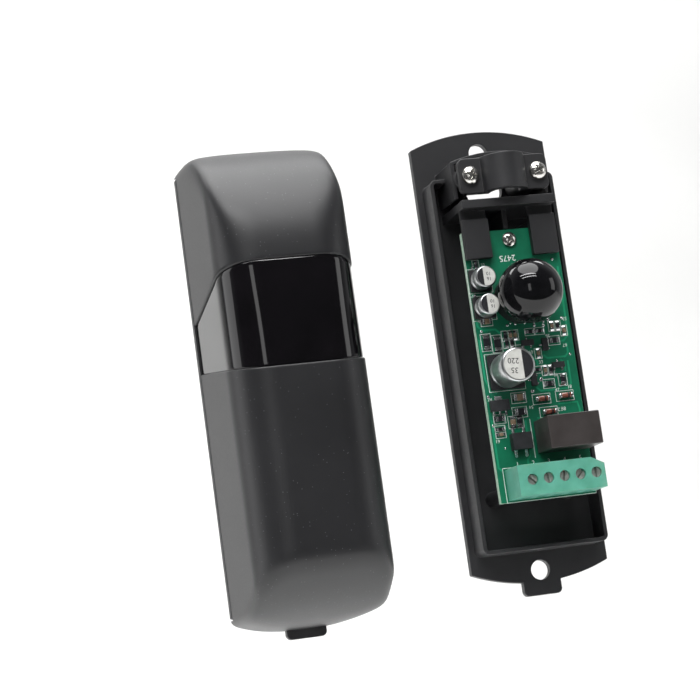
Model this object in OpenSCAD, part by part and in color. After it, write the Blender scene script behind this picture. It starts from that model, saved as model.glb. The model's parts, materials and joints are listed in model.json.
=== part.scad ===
// Gate safety photocell: an open receiver and, beside it, its closed transmitter.
// Both hang on a wall at y = 0 and face -Y, with +Z up. The origin is on the wall, halfway
// between the receiver's two fixing holes.
// Inside a module the unit lies on its back: x to the right, y up the unit, z out from the wall.

/* [Pair] */
// Sideways step from the receiver to the transmitter
pair_pitch = 57; // [46:0.5:90]
// How much lower the transmitter hangs
pair_drop = 2.7; // [0:0.1:10]

/* [Base] */
// Width of the back plate
plate_w = 33.4; // [31.5:0.1:36]
// Spacing of the two fixing holes
fixing_pitch = 100; // [98:0.5:102]
// Reach of the back plate's top end past the upper fixing hole
plate_over = 5.2; // [4.4:0.1:8]
// Reach of the back plate's bottom end past the lower fixing hole
plate_under = 2.8; // [2:0.1:6]
// Thickness of the back plate
plate_t = 2.1; // [1.2:0.1:2.8]
// How far the plate's curved ends bow out
plate_bow = 3.4; // [2.5:0.1:4]
// Diameter of the fixing holes
fixing_d = 4.6; // [3:0.1:5]
// Width of the tab round the lower fixing hole
tab_w = 9.2; // [8:0.1:12]
// How far the tab reaches past the bottom end
tab_reach = 3; // [2.6:0.1:4]
// Step from the plate's long edges in to the tray's walls
tray_step = 1.5; // [1.5:0.1:1.9]
// Step from the plate's top end down to the tray's top wall
tray_step_up = 12.5; // [11.2:0.1:14.2]
// Step from the plate's bottom end up to the tray's bottom wall
tray_step_down = 7.3; // [6.8:0.1:8.4]
// Thickness of the tray's walls
tray_wall = 0.9; // [0.7:0.1:1.4]
// Height of the tray's rim over the wall
tray_h = 8.9; // [5:0.1:11]
// Diameter of the cable hole through the back plate
cable_hole_d = 9; // [5:0.5:9]

/* [Cable saddle] */
// Spacing of the saddle's two screws
saddle_pitch = 16.4; // [15.8:0.1:17]
// Step from the turret's top down to the saddle's screws
saddle_step = 6.3; // [5.7:0.1:6.6]
// Width of the saddle
saddle_w = 21.6; // [20.6:0.1:23]
// Length of the saddle along the cable
saddle_l = 8.4; // [6:0.1:8.8]
// Thickness of the saddle
saddle_t = 1.8; // [1.2:0.1:2]
// Height of the seat that the saddle is screwed down on
saddle_seat = 16; // [15:0.1:16.2]
// Inside radius of the saddle's hump
hump_r = 3.6; // [2.5:0.1:3.8]
// Height of the turret wall round the saddle
turret_h = 14.5; // [9:0.1:14.5]
// Width of the turret
turret_w = 23; // [21:0.1:24]
// Step from the plate's top end down to the turret's top
turret_step = 8; // [8:0.1:9.2]

/* [Board] */
// Width of the circuit board
board_w = 23; // [22:0.1:25]
// Length of the circuit board
board_l = 63; // [60:0.5:64]
// Thickness of the circuit board
board_t = 1.6; // [0.8:0.1:2]
// Height of the board's face over the wall
board_face = 14.4; // [12:0.1:14.4]
// Gap between the board's top edge and the cross wall
board_clear = 4.9; // [4.7:0.1:5.2]
// How far the board's middle lies to the right
board_shift = 0.3; // [0:0.1:0.5]
// Step from the board's top edge down to its screw
board_screw_step = 2.4; // [2.2:0.1:3.8]

/* [Retainer] */
// Width of the cross wall above the board
bar_w = 22.6; // [20:0.1:24]
// Step from the turret's foot down to the cross wall's lower face
bar_step = 3.2; // [2.8:0.1:3.6]
// Thickness of the cross wall
bar_t = 2; // [1:0.1:2.4]
// Height of the cross wall over the wall
bar_h = 18.5; // [16.8:0.1:20]
// Width of each tongue that holds a top corner of the board
tongue_w = 6.3; // [3:0.1:7]
// How far the tongues reach down from the cross wall
tongue_l = 11.5; // [9.2:0.1:11.8]
// Thickness of the tongues
tongue_t = 1.8; // [1:0.1:2]

/* [Lens] */
// Radius of the ball lens
lens_r = 7.4; // [6:0.1:7.4]
// Height of the ball's middle over the wall
lens_h = 23.7; // [22:0.1:24]
// Height of the lens above the board's middle, as a share of the board's length
lens_share = 0.2381; // [0.23:0.001:0.245]
// Outside radius of the lens tube
tube_r = 5.8; // [5:0.1:5.8]
// Thickness of the lens tube
tube_wall = 0.8; // [0.5:0.1:1.5]

/* [Capacitors] */
// Diameter of the large capacitor
main_cap_d = 8; // [6:0.1:8.5]
// Height of the large capacitor over the board
main_cap_h = 10.2; // [6:0.1:11]
// Diameter of the small capacitors
small_cap_d = 5; // [3:0.1:5]
// Height of the small capacitors over the board
small_cap_h = 5.3; // [3:0.1:5.4]
// Height of each capacitor's plastic foot
cap_foot_h = 0.9; // [0.5:0.1:1.5]

/* [Relay] */
// Length of the relay
relay_l = 12.5; // [12:0.1:13]
// Width of the relay
relay_w = 7.5; // [7.5:0.1:8]
// Height of the relay over the board
relay_h = 10; // [10:0.1:11]
// Thickness of the relay's case
relay_wall = 0.5; // [0.3:0.05:0.6]
// Turn of the armature when the coil pulls it in
armature_turn = 3; // [1:0.5:3]

/* [Terminal block] */
// Spacing of the terminals
way_pitch = 3.81; // [3.7:0.01:3.9]
// Height of the terminal block over the board
block_h = 9.1; // [8.8:0.1:10]
// Depth of the terminal block
block_l = 7; // [7:0.1:8]
// Diameter of the terminal screws' heads
way_head_d = 2.3; // [2:0.05:2.4]
// Diameter of the terminal screws' threads
way_screw_d = 1.8; // [1.4:0.05:1.9]
// Climb of a wire cage from open to tight
cage_climb = 1.4; // [0.8:0.1:1.4]

/* [Cover] */
// Gap between the ball lens and the window's inner face
lens_clear = 1.7; // [0.5:0.1:3]
// Thickness of the cover
cover_wall = 1; // [0.8:0.05:1.05]
// Width of the cover's flat front
front_w = 12.4; // [10:0.1:15]
// Length of the slope from the plate's top end up to the flat front
slope_up = 24.2; // [20:0.1:25]
// Length of the slope from the plate's bottom end up to the flat front
slope_down = 11.8; // [9.8:0.1:14.8]
// Lean of the cover's sides, in degrees
side_lean = 2.5; // [1:0.1:2.8]
// Bulge of the cover's sloping top end
bulge_up = 6.7; // [6.2:0.1:7]
// Bulge of the cover's sloping bottom end
bulge_down = 3.2; // [2:0.1:5]
// Top edge of the window at the front, above the lens
window_over = 13.4; // [11:0.1:16]
// How much lower the window's top edge is at the wall
window_rake = 8.4; // [3:0.1:9]
// Bottom edge of the window at the front, below the lens
window_under = 10.3; // [8:0.1:15]
// How much higher the window's bottom edge is at the wall
window_rise = 4.8; // [0:0.1:6]
// How far the window lies behind the cover's surface
window_recess = 0.35; // [0.1:0.05:0.6]
// Thickness of the window's lip inside the cover
lip_t = 0.6; // [0.4:0.05:0.65]
// Length of the window's lip inside the cover
lip_l = 2.5; // [1:0.1:4]

/* [Fits] */
// Gap between the cover's ends and the back plate's ends
cover_gap = 0.4; // [0.3:0.05:0.5]
// Gap round a piece that is set into another
seat_gap = 0.05; // [0.02:0.01:0.08]
// Radial clearance of a screw in its bore
screw_gap = 0.05; // [0.02:0.01:0.09]
// Gap round wires and pins in the board
pin_gap = 0.12; // [0.05:0.01:0.2]
// Gap round the wire cages
cage_gap = 0.1; // [0.05:0.01:0.12]

/* [Hidden] */
$fn = 72;
receiver = 0;
transmitter = 1;
lap = 1;
shell_far = 80;

// Where each unit hangs
function unit_x(u) = u == receiver ? 0 : -pair_pitch;
function unit_z(u) = u == receiver ? 0 : -pair_drop;

// Heights up the unit that the steps give
turret_down_step = 4.5;
plate_up = fixing_pitch / 2 + plate_over;
plate_down = fixing_pitch / 2 + plate_under;
tray_w = plate_w - 2 * tray_step;
tray_up = plate_up - tray_step_up;
tray_down = plate_down - tray_step_down;
turret_up = plate_up - turret_step;
saddle_y = turret_up - saddle_step;
turret_down = saddle_y - turret_down_step;
bar_y = turret_down - bar_step;
tongue_y = bar_y - tongue_l;

// Base and turret
tray_corner_r = 1.5;
post_r = 3;
pilot_depth = 11;
board_post_r = 2.7;
foot_post_r = 1.8;
foot_post_x = 9;
foot_post_inset = 2.1;
tongue_gap = 0.2;
tongue_neck_l = 2.2;
tongue_neck_t = 0.7;
rib_w = 1.2;
rib_gap = 0.4;
rib_drop = 0.6;
tab_corner_r = 1.2;
bow_r = (plate_w * plate_w / 4 + plate_bow * plate_bow) / (2 * plate_bow);

// Screws: head diameter, head height, shank diameter, shank length
saddle_screw_head_d = 4;
saddle_screw_head_h = 1.7;
saddle_screw_d = 2.4;
saddle_screw_l = 10;
board_screw_head_d = 3.4;
board_screw_head_h = 1.3;
board_screw_d = 1.8;
board_screw_l = 6.5;
board_hole_gap = 0.3;
saddle_hole_gap = 0.3;
cross_w_share = 0.16;
cross_l_share = 0.62;
cross_depth_share = 0.55;

// Board
board_top = bar_y - board_clear;
board_mid_y = board_top - board_l / 2;
board_low = board_top - board_l;
board_screw_y = board_top - board_screw_step;
board_under = board_face - board_t;
lead_r = 0.3;
solder_tail = 1.2;

// Lens tube and the chips under the lens
lens_y = board_mid_y + lens_share * board_l;
tube_rim = 0.3;
tube_top = lens_h - sqrt(pow(lens_r + seat_gap, 2) - pow(tube_r - tube_rim, 2));
spigot_r = tube_r - tube_wall - 2 * seat_gap;
spigot_h = 6.6;
photodiode_l = 5;
photodiode_w = 4;
photodiode_h = 1.1;
photodiode_window = 2.8;
photodiode_dip = 0.15;
emitter_w = 3.5;
emitter_h = 0.8;
emitter_dome_r = 1.1;
emitter_dome_h = 0.7;

// Capacitors
cap_foot_share = 0.51;
cap_foot_cut_share = 0.14;
cap_groove_r = 0.35;
cap_groove_up = 1.7;
cap_edge = 0.35;
main_cap_x = -5.7;
main_cap_share = -0.0254;
main_cap_y = board_mid_y + main_cap_share * board_l;
small_cap_x = -8.55;
small_cap_shares = [0.3175, 0.2159];

// Relay
relay_x = 5.4;
relay_share = -0.2778;
relay_y = board_mid_y + relay_share * board_l;
relay_lift = 0.3;
relay_base_t = 0.9;
relay_pin_x = 5.08;
relay_pin_y = 2.54;
bobbin_r = 2.9;
bobbin_flange_t = 0.5;
winding_r = 2.5;
winding_h = 4.2;
pole_r = 1.2;
pole_h = 0.4;
yoke_t = 0.7;
yoke_w = 4;
yoke_x = 3.9;
armature_t = 0.5;
armature_w = 4;
armature_gap = 0.5;
armature_reach = 8.3;
contact_r = 0.4;

// Rectifier, regulator, glass diodes
rectifier_x = -4.7;
rectifier_share = -0.2857;
rectifier_y = board_mid_y + rectifier_share * board_l;
rectifier_w = 4.6;
rectifier_l = 3.8;
rectifier_h = 2.4;
rectifier_stand = 0.15;
rectifier_lead_w = 0.65;
rectifier_lead_t = 0.25;
rectifier_lead_reach = 1.6;
rectifier_lead_pitch = 2.54;
regulator_x = -8.4;
regulator_share = -0.1476;
regulator_y = board_mid_y + regulator_share * board_l;
regulator_w = 4.5;
regulator_l = 2.5;
regulator_h = 1.5;
regulator_lead_w = 0.45;
regulator_lead_t = 0.35;
regulator_lead_reach = 0.9;
regulator_lead_pitch = 1.5;
regulator_tab_w = 1.7;
glass_r = 0.7;
glass_cap_r = 0.75;
glass_cap_l = 0.45;
glass_l = 3.5;

// Chip parts: length, width and height of each kind
chip_small = [1.6, 0.8, 0.45];
chip_medium = [2, 1.25, 0.6];
chip_large = [3.2, 1.6, 0.6];
chip_diode = [2.7, 1.6, 1.1];
chip_cap_share = 0.2;
transistor_l = 2.9;
transistor_w = 1.3;
transistor_h = 1;
transistor_lift = 0.1;
transistor_lead_w = 0.4;
transistor_lead_t = 0.15;
transistor_lead_reach = 0.5;
transistor_lead_pitch = 0.95;

// Places on the board as shares of its width and length from its middle, then a turn in degrees
receiver_glass_shares = [[0.078, -0.138, 0], [0.326, -0.135, 0], [0.133, -0.188, 0]];
receiver_small_shares = [
    [-0.205, 0.105, 90], [-0.15, 0.105, 90], [-0.1, 0.105, 90], [-0.2, 0.079, 90],
    [-0.145, 0.079, 90], [0.06, 0.112, 0], [0.16, 0.112, 0], [0.115, 0.03, 90],
    [0.16, -0.035, 90], [0.22, -0.035, 90], [0.075, -0.03, 0], [-0.4, -0.252, 0],
    [-0.4, -0.232, 0], [-0.4, 0.375, 90], [0.3, 0.125, 90], [0.36, 0.125, 90],
    [0.42, 0.105, 90], [-0.095, 0.055, 0]
];
receiver_medium_shares = [
    [-0.375, 0.165, 0], [0.3, 0.072, 0], [0.18, -0.085, 0], [0.33, -0.075, 90],
    [-0.39, -0.195, 0], [-0.19, -0.212, 90], [-0.26, -0.212, 90]
];
receiver_large_shares = [[-0.41, 0.088, 90], [-0.3, 0.08, 90]];
receiver_diode_shares = [[-0.16, -0.125, 0], [-0.17, -0.178, 0]];
receiver_transistor_shares = [[0.01, 0.072, 0], [0.19, 0.06, 90], [0.02, -0.065, 90], [0.3, -0.02, 0]];
transmitter_glass_shares = [[0.2, -0.14, 0], [0.2, -0.2, 0]];
transmitter_small_shares = [[-0.2, 0.09, 90], [-0.1, 0.09, 90], [0, 0.09, 90], [0.1, 0.09, 90], [0.2, 0.09, 90]];
transmitter_medium_shares = [[-0.3, -0.25, 0], [-0.3, -0.3, 0], [0.3, 0, 90]];
transmitter_transistor_shares = [[0.1, 0.03, 0], [0.1, -0.03, 0]];

// Terminal block
receiver_ways = 5;
transmitter_ways = 2;
receiver_first_x = -6;
transmitter_first_x = -2.2;
block_end_l = 3.3;
block_far_l = 2.1;
block_corner_l = 3;
block_corner_w = 1.6;
way_step = 3.9;
way_y = board_low + way_step;
well_r = way_head_d / 2 + 2 * screw_gap;
well_floor = 6.9;
bridge_t = 0.5;
way_head_h = 1.4;
way_slot_w = 0.5;
way_slot_depth = 0.7;
way_tip = 4.25;
chamber_w = 2.9;
chamber_front = 2.6;
chamber_back = 2.6;
chamber_top = well_floor - bridge_t;
entry_w = 2.4;
entry_low = 1.2;
entry_h = 2.3;
cage_w = chamber_w - 2 * cage_gap;
cage_low = 0.7;
cage_h = 4.2;
cage_wall = 0.45;
cage_top_t = 0.6;
cage_front = 2.5;
cage_back = 1.8;
bar_under = 3.5;
strip_t = 0.5;
strip_w = 1.4;
blade_w = 0.8;
blade_hole_r = sqrt(blade_w * blade_w + strip_t * strip_t) / 2 + pin_gap;

// Cover
tan_lean = tan(side_lean);
shoulder_proud = 0.02;
cover_h = lens_h + lens_r + lens_clear + lip_t + cover_wall;
front_up = plate_up - slope_up;
front_down = plate_down - slope_down;
window_up = lens_y + window_over;
window_low = lens_y - window_under;
cover_w = plate_w;
cover_up = plate_up + cover_gap + cover_wall;
cover_down = plate_down + cover_gap + cover_wall;
shoulder_r = (cover_w / 2 - front_w / 2 - cover_h * tan_lean) / (1 / cos(side_lean) - tan_lean);
lip_over_tray = 0.4;
lip_low = tray_h + lip_over_tray;
notch_gap = 0.3;

// Stands a unit up and hangs it in its place
module hang(u) translate([unit_x(u), 0, unit_z(u)]) rotate([90, 0, 0]) children();

// Stands something on a board's face
module on_board(x, y) translate([x, y, board_face]) children();

// Puts something at a place given in shares of the board
module at_share(p)
    translate([board_shift + p[0] * board_w, board_mid_y + p[1] * board_l, board_face])
    rotate([0, 0, p[2]]) children();

module rounded_rect(w, l, r) {
    square([w - 2 * r, l], center = true);
    square([w, l - 2 * r], center = true);
    for (x = [-1, 1], y = [-1, 1]) translate([x * (w / 2 - r), y * (l / 2 - r)]) circle(r);
}

// Box centred in x and y that stands on z = 0
module slab(size) translate([-size[0] / 2, -size[1] / 2, 0]) cube(size);

// Back plate's outline, grown at the ends and at the sides: two halves, each with a bowed end
module unit_outline(grow, side) {
    half = plate_w / 2 + side;
    intersection() {
        translate([0, plate_up - bow_r]) circle(bow_r + grow, $fn = 180);
        translate([-half, -lap]) square([2 * half, plate_up + grow + lap]);
    }
    intersection() {
        translate([0, bow_r - plate_down]) circle(bow_r + grow, $fn = 180);
        translate([-half, -plate_down - grow]) square([2 * half, plate_down + grow + lap]);
    }
}

// Tab round the lower fixing hole
module tab_outline(grow) {
    end = plate_down + tab_reach;
    x = tab_w / 2 - tab_corner_r;
    for (side = [-1, 1]) translate([side * x, -end + tab_corner_r]) circle(tab_corner_r + grow);
    translate([-x, -end - grow]) square([2 * x, tab_w]);
    translate([-tab_w / 2 - grow, -end + tab_corner_r]) square([tab_w + 2 * grow, tab_w]);
}

// Tray outline: a rounded rectangle, inset by the wall for its inside
module tray_outline(inset) {
    l = tray_up + tray_down - 2 * inset;
    translate([0, (tray_up - tray_down) / 2])
        rounded_rect(tray_w - 2 * inset, l, max(tray_corner_r - inset, tray_corner_r / 4));
}

// Turret outline: straight sides and an end that follows the plate's bow
module turret_outline(inset) {
    half = turret_w / 2 - inset;
    intersection() {
        translate([0, plate_up - bow_r]) circle(bow_r - (plate_up - turret_up) - inset, $fn = 180);
        translate([-half, turret_down]) square([2 * half, turret_up - turret_down + lap]);
    }
}

module base() {
    color("#1d1d20") difference() {
        union() {
            linear_extrude(plate_t) {
                unit_outline(0, 0);
                tab_outline(0);
            }
            difference() {
                linear_extrude(tray_h) tray_outline(0);
                translate([0, 0, plate_t]) linear_extrude(tray_h) tray_outline(tray_wall);
                translate([0, 0, plate_t]) linear_extrude(tray_h) turret_outline(tray_wall);
            }
            difference() {
                linear_extrude(turret_h) turret_outline(0);
                translate([0, -lap, plate_t]) linear_extrude(turret_h) turret_outline(tray_wall);
                translate([0, 0, plate_t]) linear_extrude(turret_h) turret_outline(tray_wall);
            }
            for (s = [-1, 1]) translate([s * saddle_pitch / 2, saddle_y, 0])
                cylinder(h = saddle_seat, r = post_r);
            retainer();
            translate([0, board_screw_y, 0]) cylinder(h = board_under, r = board_post_r);
            for (s = [-1, 1]) translate([s * foot_post_x, board_low + foot_post_inset, 0])
                cylinder(h = board_under, r = foot_post_r);
        }
        for (s = [-1, 1]) translate([0, s * fixing_pitch / 2, -lap])
            cylinder(h = plate_t + 2 * lap, r = fixing_d / 2);
        translate([0, saddle_y, -lap]) cylinder(h = plate_t + 2 * lap, r = cable_hole_d / 2);
        for (s = [-1, 1]) translate([s * saddle_pitch / 2, saddle_y, saddle_seat - pilot_depth])
            cylinder(h = pilot_depth + lap, r = saddle_screw_d / 2 + screw_gap);
        translate([0, board_screw_y, board_under - pilot_depth + plate_t])
            cylinder(h = pilot_depth + lap, r = board_screw_d / 2 + screw_gap);
    }
}

// Cross wall above the board, with a tongue over each top corner and a rib in the middle
module retainer() {
    tongue_low = board_face + tongue_gap;
    translate([-bar_w / 2, bar_y, 0]) cube([bar_w, bar_t, bar_h]);
    for (s = [-1, 1]) {
        x = s > 0 ? bar_w / 2 - tongue_w : -bar_w / 2;
        translate([x, tongue_y, tongue_low])
            cube([tongue_w, bar_y - tongue_y - tongue_neck_l, tongue_t]);
        translate([x, bar_y - tongue_neck_l - lap / 2, tongue_low])
            cube([tongue_w, tongue_neck_l + lap, tongue_neck_t]);
    }
    translate([-rib_w / 2, board_top + rib_gap, 0])
        cube([rib_w, bar_y - board_top - rib_gap + lap, board_face - rib_drop]);
}

// Screwed-down saddle with a hump that the cable passes under
module saddle() {
    outer = hump_r + saddle_t;
    color("#232326") translate([0, saddle_y, saddle_seat]) difference() {
        union() {
            linear_extrude(saddle_t) rounded_rect(saddle_w, saddle_l, tray_corner_r);
            translate([0, saddle_l / 2, saddle_t / 2]) rotate([90, 0, 0])
                cylinder(h = saddle_l, r = outer);
        }
        translate([0, saddle_l / 2 + lap, saddle_t / 2]) rotate([90, 0, 0])
            cylinder(h = saddle_l + 2 * lap, r = hump_r);
        translate([0, 0, -outer]) slab([2 * outer + lap, saddle_l + 2 * lap, outer]);
        translate([0, 0, -lap]) slab([2 * hump_r, saddle_l + 2 * lap, saddle_t / 2 + lap]);
        for (s = [-1, 1]) translate([s * saddle_pitch / 2, 0, -lap])
            cylinder(h = saddle_t + 2 * lap, r = saddle_screw_d / 2 + saddle_hole_gap);
    }
}

// Pan-head screw with a cross recess, standing with the head's underside on z = 0
module pan_screw(head_d, head_h, shank_d, shank_l) {
    dome = (head_d * head_d / 4 + head_h * head_h) / (2 * head_h);
    difference() {
        union() {
            intersection() {
                cylinder(h = head_h, r = head_d / 2);
                translate([0, 0, head_h - 1.35 * dome]) sphere(1.35 * dome);
            }
            translate([0, 0, -shank_l]) cylinder(h = shank_l + head_h / 4, r = shank_d / 2);
        }
        for (a = [0, 90]) rotate([0, 0, a])
            translate([0, 0, head_h * (1 - cross_depth_share)])
            slab([head_d * cross_l_share, head_d * cross_w_share, head_h]);
    }
}

module saddle_screw(side) {
    color("#c9cbcc") translate([side * saddle_pitch / 2, saddle_y, saddle_seat + saddle_t])
        pan_screw(saddle_screw_head_d, saddle_screw_head_h, saddle_screw_d, saddle_screw_l);
}

module board_screw() {
    color("#c9cbcc") translate([0, board_screw_y, board_face])
        pan_screw(board_screw_head_d, board_screw_head_h, board_screw_d, board_screw_l);
}

module board(u) {
    color("#12805a") difference() {
        translate([board_shift, board_mid_y, board_under]) slab([board_w, board_l, board_t]);
        translate([0, board_screw_y, board_under - lap])
            cylinder(h = board_t + 2 * lap, r = board_screw_d / 2 + board_hole_gap);
        for (i = [1:ways(u)]) translate([way_x(u, i), pin_y(), board_under - lap])
            cylinder(h = board_t + 2 * lap, r = blade_hole_r);
        if (u == receiver) for (p = relay_pins()) translate([relay_x + p[0], relay_y + p[1], board_under - lap])
            cylinder(h = board_t + 2 * lap, r = lead_r + pin_gap);
    }
}

module lens_tube() {
    color("#161618") on_board(0, lens_y) difference() {
        cylinder(h = tube_top - board_face, r = tube_r);
        translate([0, 0, -lap]) cylinder(h = tube_top, r = tube_r - tube_wall);
        translate([0, 0, lens_h - board_face]) sphere(lens_r + seat_gap);
    }
}

// Ball with a short spigot that drops into the tube
module lens() {
    color("#0c0b0e") translate([0, lens_y, lens_h]) {
        sphere(lens_r, $fn = 96);
        translate([0, 0, -spigot_h]) cylinder(h = spigot_h, r = spigot_r);
    }
}

module photodiode() {
    color("#18181c") on_board(0, lens_y) difference() {
        slab([photodiode_w, photodiode_l, photodiode_h]);
        translate([0, 0, photodiode_h - photodiode_dip])
            slab([photodiode_window, photodiode_window, photodiode_h]);
    }
}

module emitter() {
    color("#d8d4c4") on_board(0, lens_y) {
        slab([emitter_w, emitter_w, emitter_h]);
        cylinder(h = emitter_h + emitter_dome_h, r1 = emitter_dome_r, r2 = emitter_dome_r / 2);
    }
}

// Can on a square foot with two cut corners, with a rolled groove near its foot
module capacitor(d, h) {
    foot = d * cap_foot_share;
    cut = d * cap_foot_cut_share;
    linear_extrude(cap_foot_h) polygon([
        [-foot, -foot + cut], [-foot + cut, -foot], [foot - cut, -foot], [foot, -foot + cut],
        [foot, foot], [-foot, foot]
    ]);
    difference() {
        union() {
            cylinder(h = h - cap_edge, r = d / 2);
            translate([0, 0, h - cap_edge]) cylinder(h = cap_edge, r1 = d / 2, r2 = d / 2 - cap_edge);
        }
        translate([0, 0, cap_foot_h + cap_groove_up])
            rotate_extrude() translate([d / 2 + cap_groove_r / 2, 0]) circle(cap_groove_r);
    }
}

module main_capacitor() {
    color("#c6c8c6") on_board(main_cap_x, main_cap_y) capacitor(main_cap_d, main_cap_h);
}

module small_capacitors() {
    color("#c6c8c6") for (share = small_cap_shares)
        on_board(small_cap_x, board_mid_y + share * board_l) capacitor(small_cap_d, small_cap_h);
}

// Relay: case, base with pins, coil with its yoke, and the armature on the yoke's edge
function relay_pins() = [for (x = [-relay_pin_x, 0, relay_pin_x], y = [-relay_pin_y, relay_pin_y]) [x, y]];
relay_floor = relay_lift + relay_base_t;
coil_top = relay_floor + winding_h + 2 * bobbin_flange_t;
pole_top = coil_top + pole_h;
armature_low = pole_top + armature_gap;

module relay_case() {
    color("#17181a") on_board(relay_x, relay_y) difference() {
        translate([0, 0, relay_lift]) slab([relay_l, relay_w, relay_h - relay_lift]);
        translate([0, 0, relay_lift - lap])
            slab([relay_l - 2 * relay_wall, relay_w - 2 * relay_wall, relay_h - relay_lift - relay_wall + lap]);
    }
}

module relay_base() {
    inner = 2 * (relay_wall + seat_gap);
    color("#202124") on_board(relay_x, relay_y) {
        translate([0, 0, relay_lift]) slab([relay_l - inner, relay_w - inner, relay_base_t]);
        for (p = relay_pins()) translate([p[0], p[1], -board_t - solder_tail])
            cylinder(h = board_t + solder_tail + relay_lift + relay_base_t / 2, r = lead_r);
        translate([armature_reach - yoke_x, 0, relay_floor - relay_base_t / 2])
            cylinder(h = pole_top - relay_floor + relay_base_t / 2, r = contact_r);
    }
}

module relay_coil() {
    color("#a6642c") on_board(relay_x, relay_y) {
        translate([0, 0, relay_floor]) {
            cylinder(h = bobbin_flange_t, r = bobbin_r);
            cylinder(h = winding_h + bobbin_flange_t, r = winding_r);
            translate([0, 0, winding_h + bobbin_flange_t]) cylinder(h = bobbin_flange_t, r = bobbin_r);
            cylinder(h = pole_top - relay_floor, r = pole_r);
            translate([-yoke_x / 2, 0, 0]) slab([yoke_x + yoke_t, yoke_w / 2, bobbin_flange_t / 2]);
        }
        translate([-yoke_x, 0, relay_floor]) slab([yoke_t, yoke_w, armature_low - relay_floor - seat_gap]);
    }
}

module relay_armature() {
    color("#b9bcc0") on_board(relay_x, relay_y) translate([-yoke_x, 0, armature_low]) {
        translate([armature_reach / 2, 0, 0]) slab([armature_reach, armature_w, armature_t]);
        translate([armature_reach, 0, 0]) cylinder(h = armature_t, r = contact_r);
    }
}

// Four-lead bridge rectifier, leads in pairs above and below its body
module bridge_rectifier() {
    color("#1a1b1d") on_board(rectifier_x, rectifier_y) {
        translate([0, 0, rectifier_stand]) slab([rectifier_w, rectifier_l, rectifier_h]);
        for (sx = [-1, 1], sy = [-1, 1])
            translate([sx * rectifier_lead_pitch / 2, sy * (rectifier_l + rectifier_lead_reach - lap) / 2, 0])
            slab([rectifier_lead_w, rectifier_lead_reach + lap, rectifier_lead_t]);
    }
}

module regulator() {
    color("#1a1b1d") on_board(regulator_x, regulator_y) {
        slab([regulator_w, regulator_l, regulator_h]);
        for (s = [-1:1]) translate([s * regulator_lead_pitch, -(regulator_l + regulator_lead_reach) / 2, 0])
            slab([regulator_lead_w, regulator_lead_reach + lap / 4, regulator_lead_t]);
        translate([0, (regulator_l + regulator_lead_reach) / 2, 0])
            slab([regulator_tab_w, regulator_lead_reach + lap / 4, regulator_lead_t]);
    }
}

// Glass diode lying along x: a glass tube between two metal caps
module glass_diode() {
    translate([-glass_l / 2, 0, glass_cap_r]) rotate([0, 90, 0]) {
        cylinder(h = glass_l, r = glass_r);
        cylinder(h = glass_cap_l, r = glass_cap_r);
        translate([0, 0, glass_l - glass_cap_l]) cylinder(h = glass_cap_l, r = glass_cap_r);
    }
}

module glass_diodes(places) {
    color("#b0563f") for (p = places) at_share(p) glass_diode();
}

// Chip resistor or capacitor: a body between two end caps a little larger than it
module chip(size) {
    cap = size[0] * chip_cap_share;
    slab([size[0] - cap, size[1] * (1 - chip_cap_share / 2), size[2] * (1 - chip_cap_share / 2)]);
    for (s = [-1, 1]) translate([s * (size[0] - cap) / 2, 0, 0]) slab([cap, size[1], size[2]]);
}

module chip_parts(small, medium, large, diode) {
    color("#2b2c2e") {
        for (p = small) at_share(p) chip(chip_small);
        for (p = medium) at_share(p) chip(chip_medium);
        for (p = large) at_share(p) chip(chip_large);
        for (p = diode) at_share(p) chip(chip_diode);
    }
}

module transistors(places) {
    color("#1c1d1f") for (p = places) at_share(p) {
        translate([0, 0, transistor_lift]) slab([transistor_l, transistor_w, transistor_h - transistor_lift]);
        for (s = [-1, 1]) translate([s * transistor_lead_pitch, -(transistor_w + transistor_lead_reach) / 2, 0])
            slab([transistor_lead_w, transistor_lead_reach + lap / 5, transistor_lead_t]);
        translate([0, (transistor_w + transistor_lead_reach) / 2, 0])
            slab([transistor_lead_w, transistor_lead_reach + lap / 5, transistor_lead_t]);
    }
}

// Terminal block: where each way lies, and where its contact's pin goes through the board
function ways(u) = u == receiver ? receiver_ways : transmitter_ways;
function way_x(u, i) = (u == receiver ? receiver_first_x : transmitter_first_x) + (i - 1) * way_pitch;
function pin_y() = way_y + chamber_back - strip_t / 2;

module terminal_housing(u) {
    left = way_x(u, 1) - block_end_l;
    right = way_x(u, ways(u)) + block_far_l;
    front = way_y - block_l / 2;
    back = way_y + block_l / 2;
    color("#2f9a7c") translate([0, 0, board_face]) difference() {
        linear_extrude(block_h) polygon([
            [left, front], [right, front], [right, back - block_corner_w],
            [right - block_corner_l, back], [left, back]
        ]);
        for (i = [1:ways(u)]) translate([way_x(u, i), way_y, 0]) {
            translate([0, 0, well_floor]) cylinder(h = block_h, r = well_r);
            translate([0, 0, chamber_top - lap]) cylinder(h = bridge_t + 2 * lap, r = way_screw_d / 2 + 2 * screw_gap);
            translate([-chamber_w / 2, -chamber_front, -lap])
                cube([chamber_w, chamber_front + chamber_back, chamber_top + lap]);
            translate([-entry_w / 2, -block_l, entry_low]) cube([entry_w, block_l, entry_h]);
        }
    }
}

// Contact strips that the wires are squeezed against, each with a pin through the board
module terminal_contacts(u) {
    color("#b8bcbf") for (i = [1:ways(u)]) translate([way_x(u, i), way_y, board_face]) {
        translate([-strip_w / 2, -cage_front, bar_under])
            cube([strip_w, cage_front + chamber_back, strip_t]);
        translate([-strip_w / 2, chamber_back - strip_t, 0])
            cube([strip_w, strip_t, bar_under + strip_t]);
        translate([0, chamber_back - strip_t / 2, -board_t - solder_tail])
            slab([blade_w, strip_t, board_t + solder_tail + strip_t]);
    }
}

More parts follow.
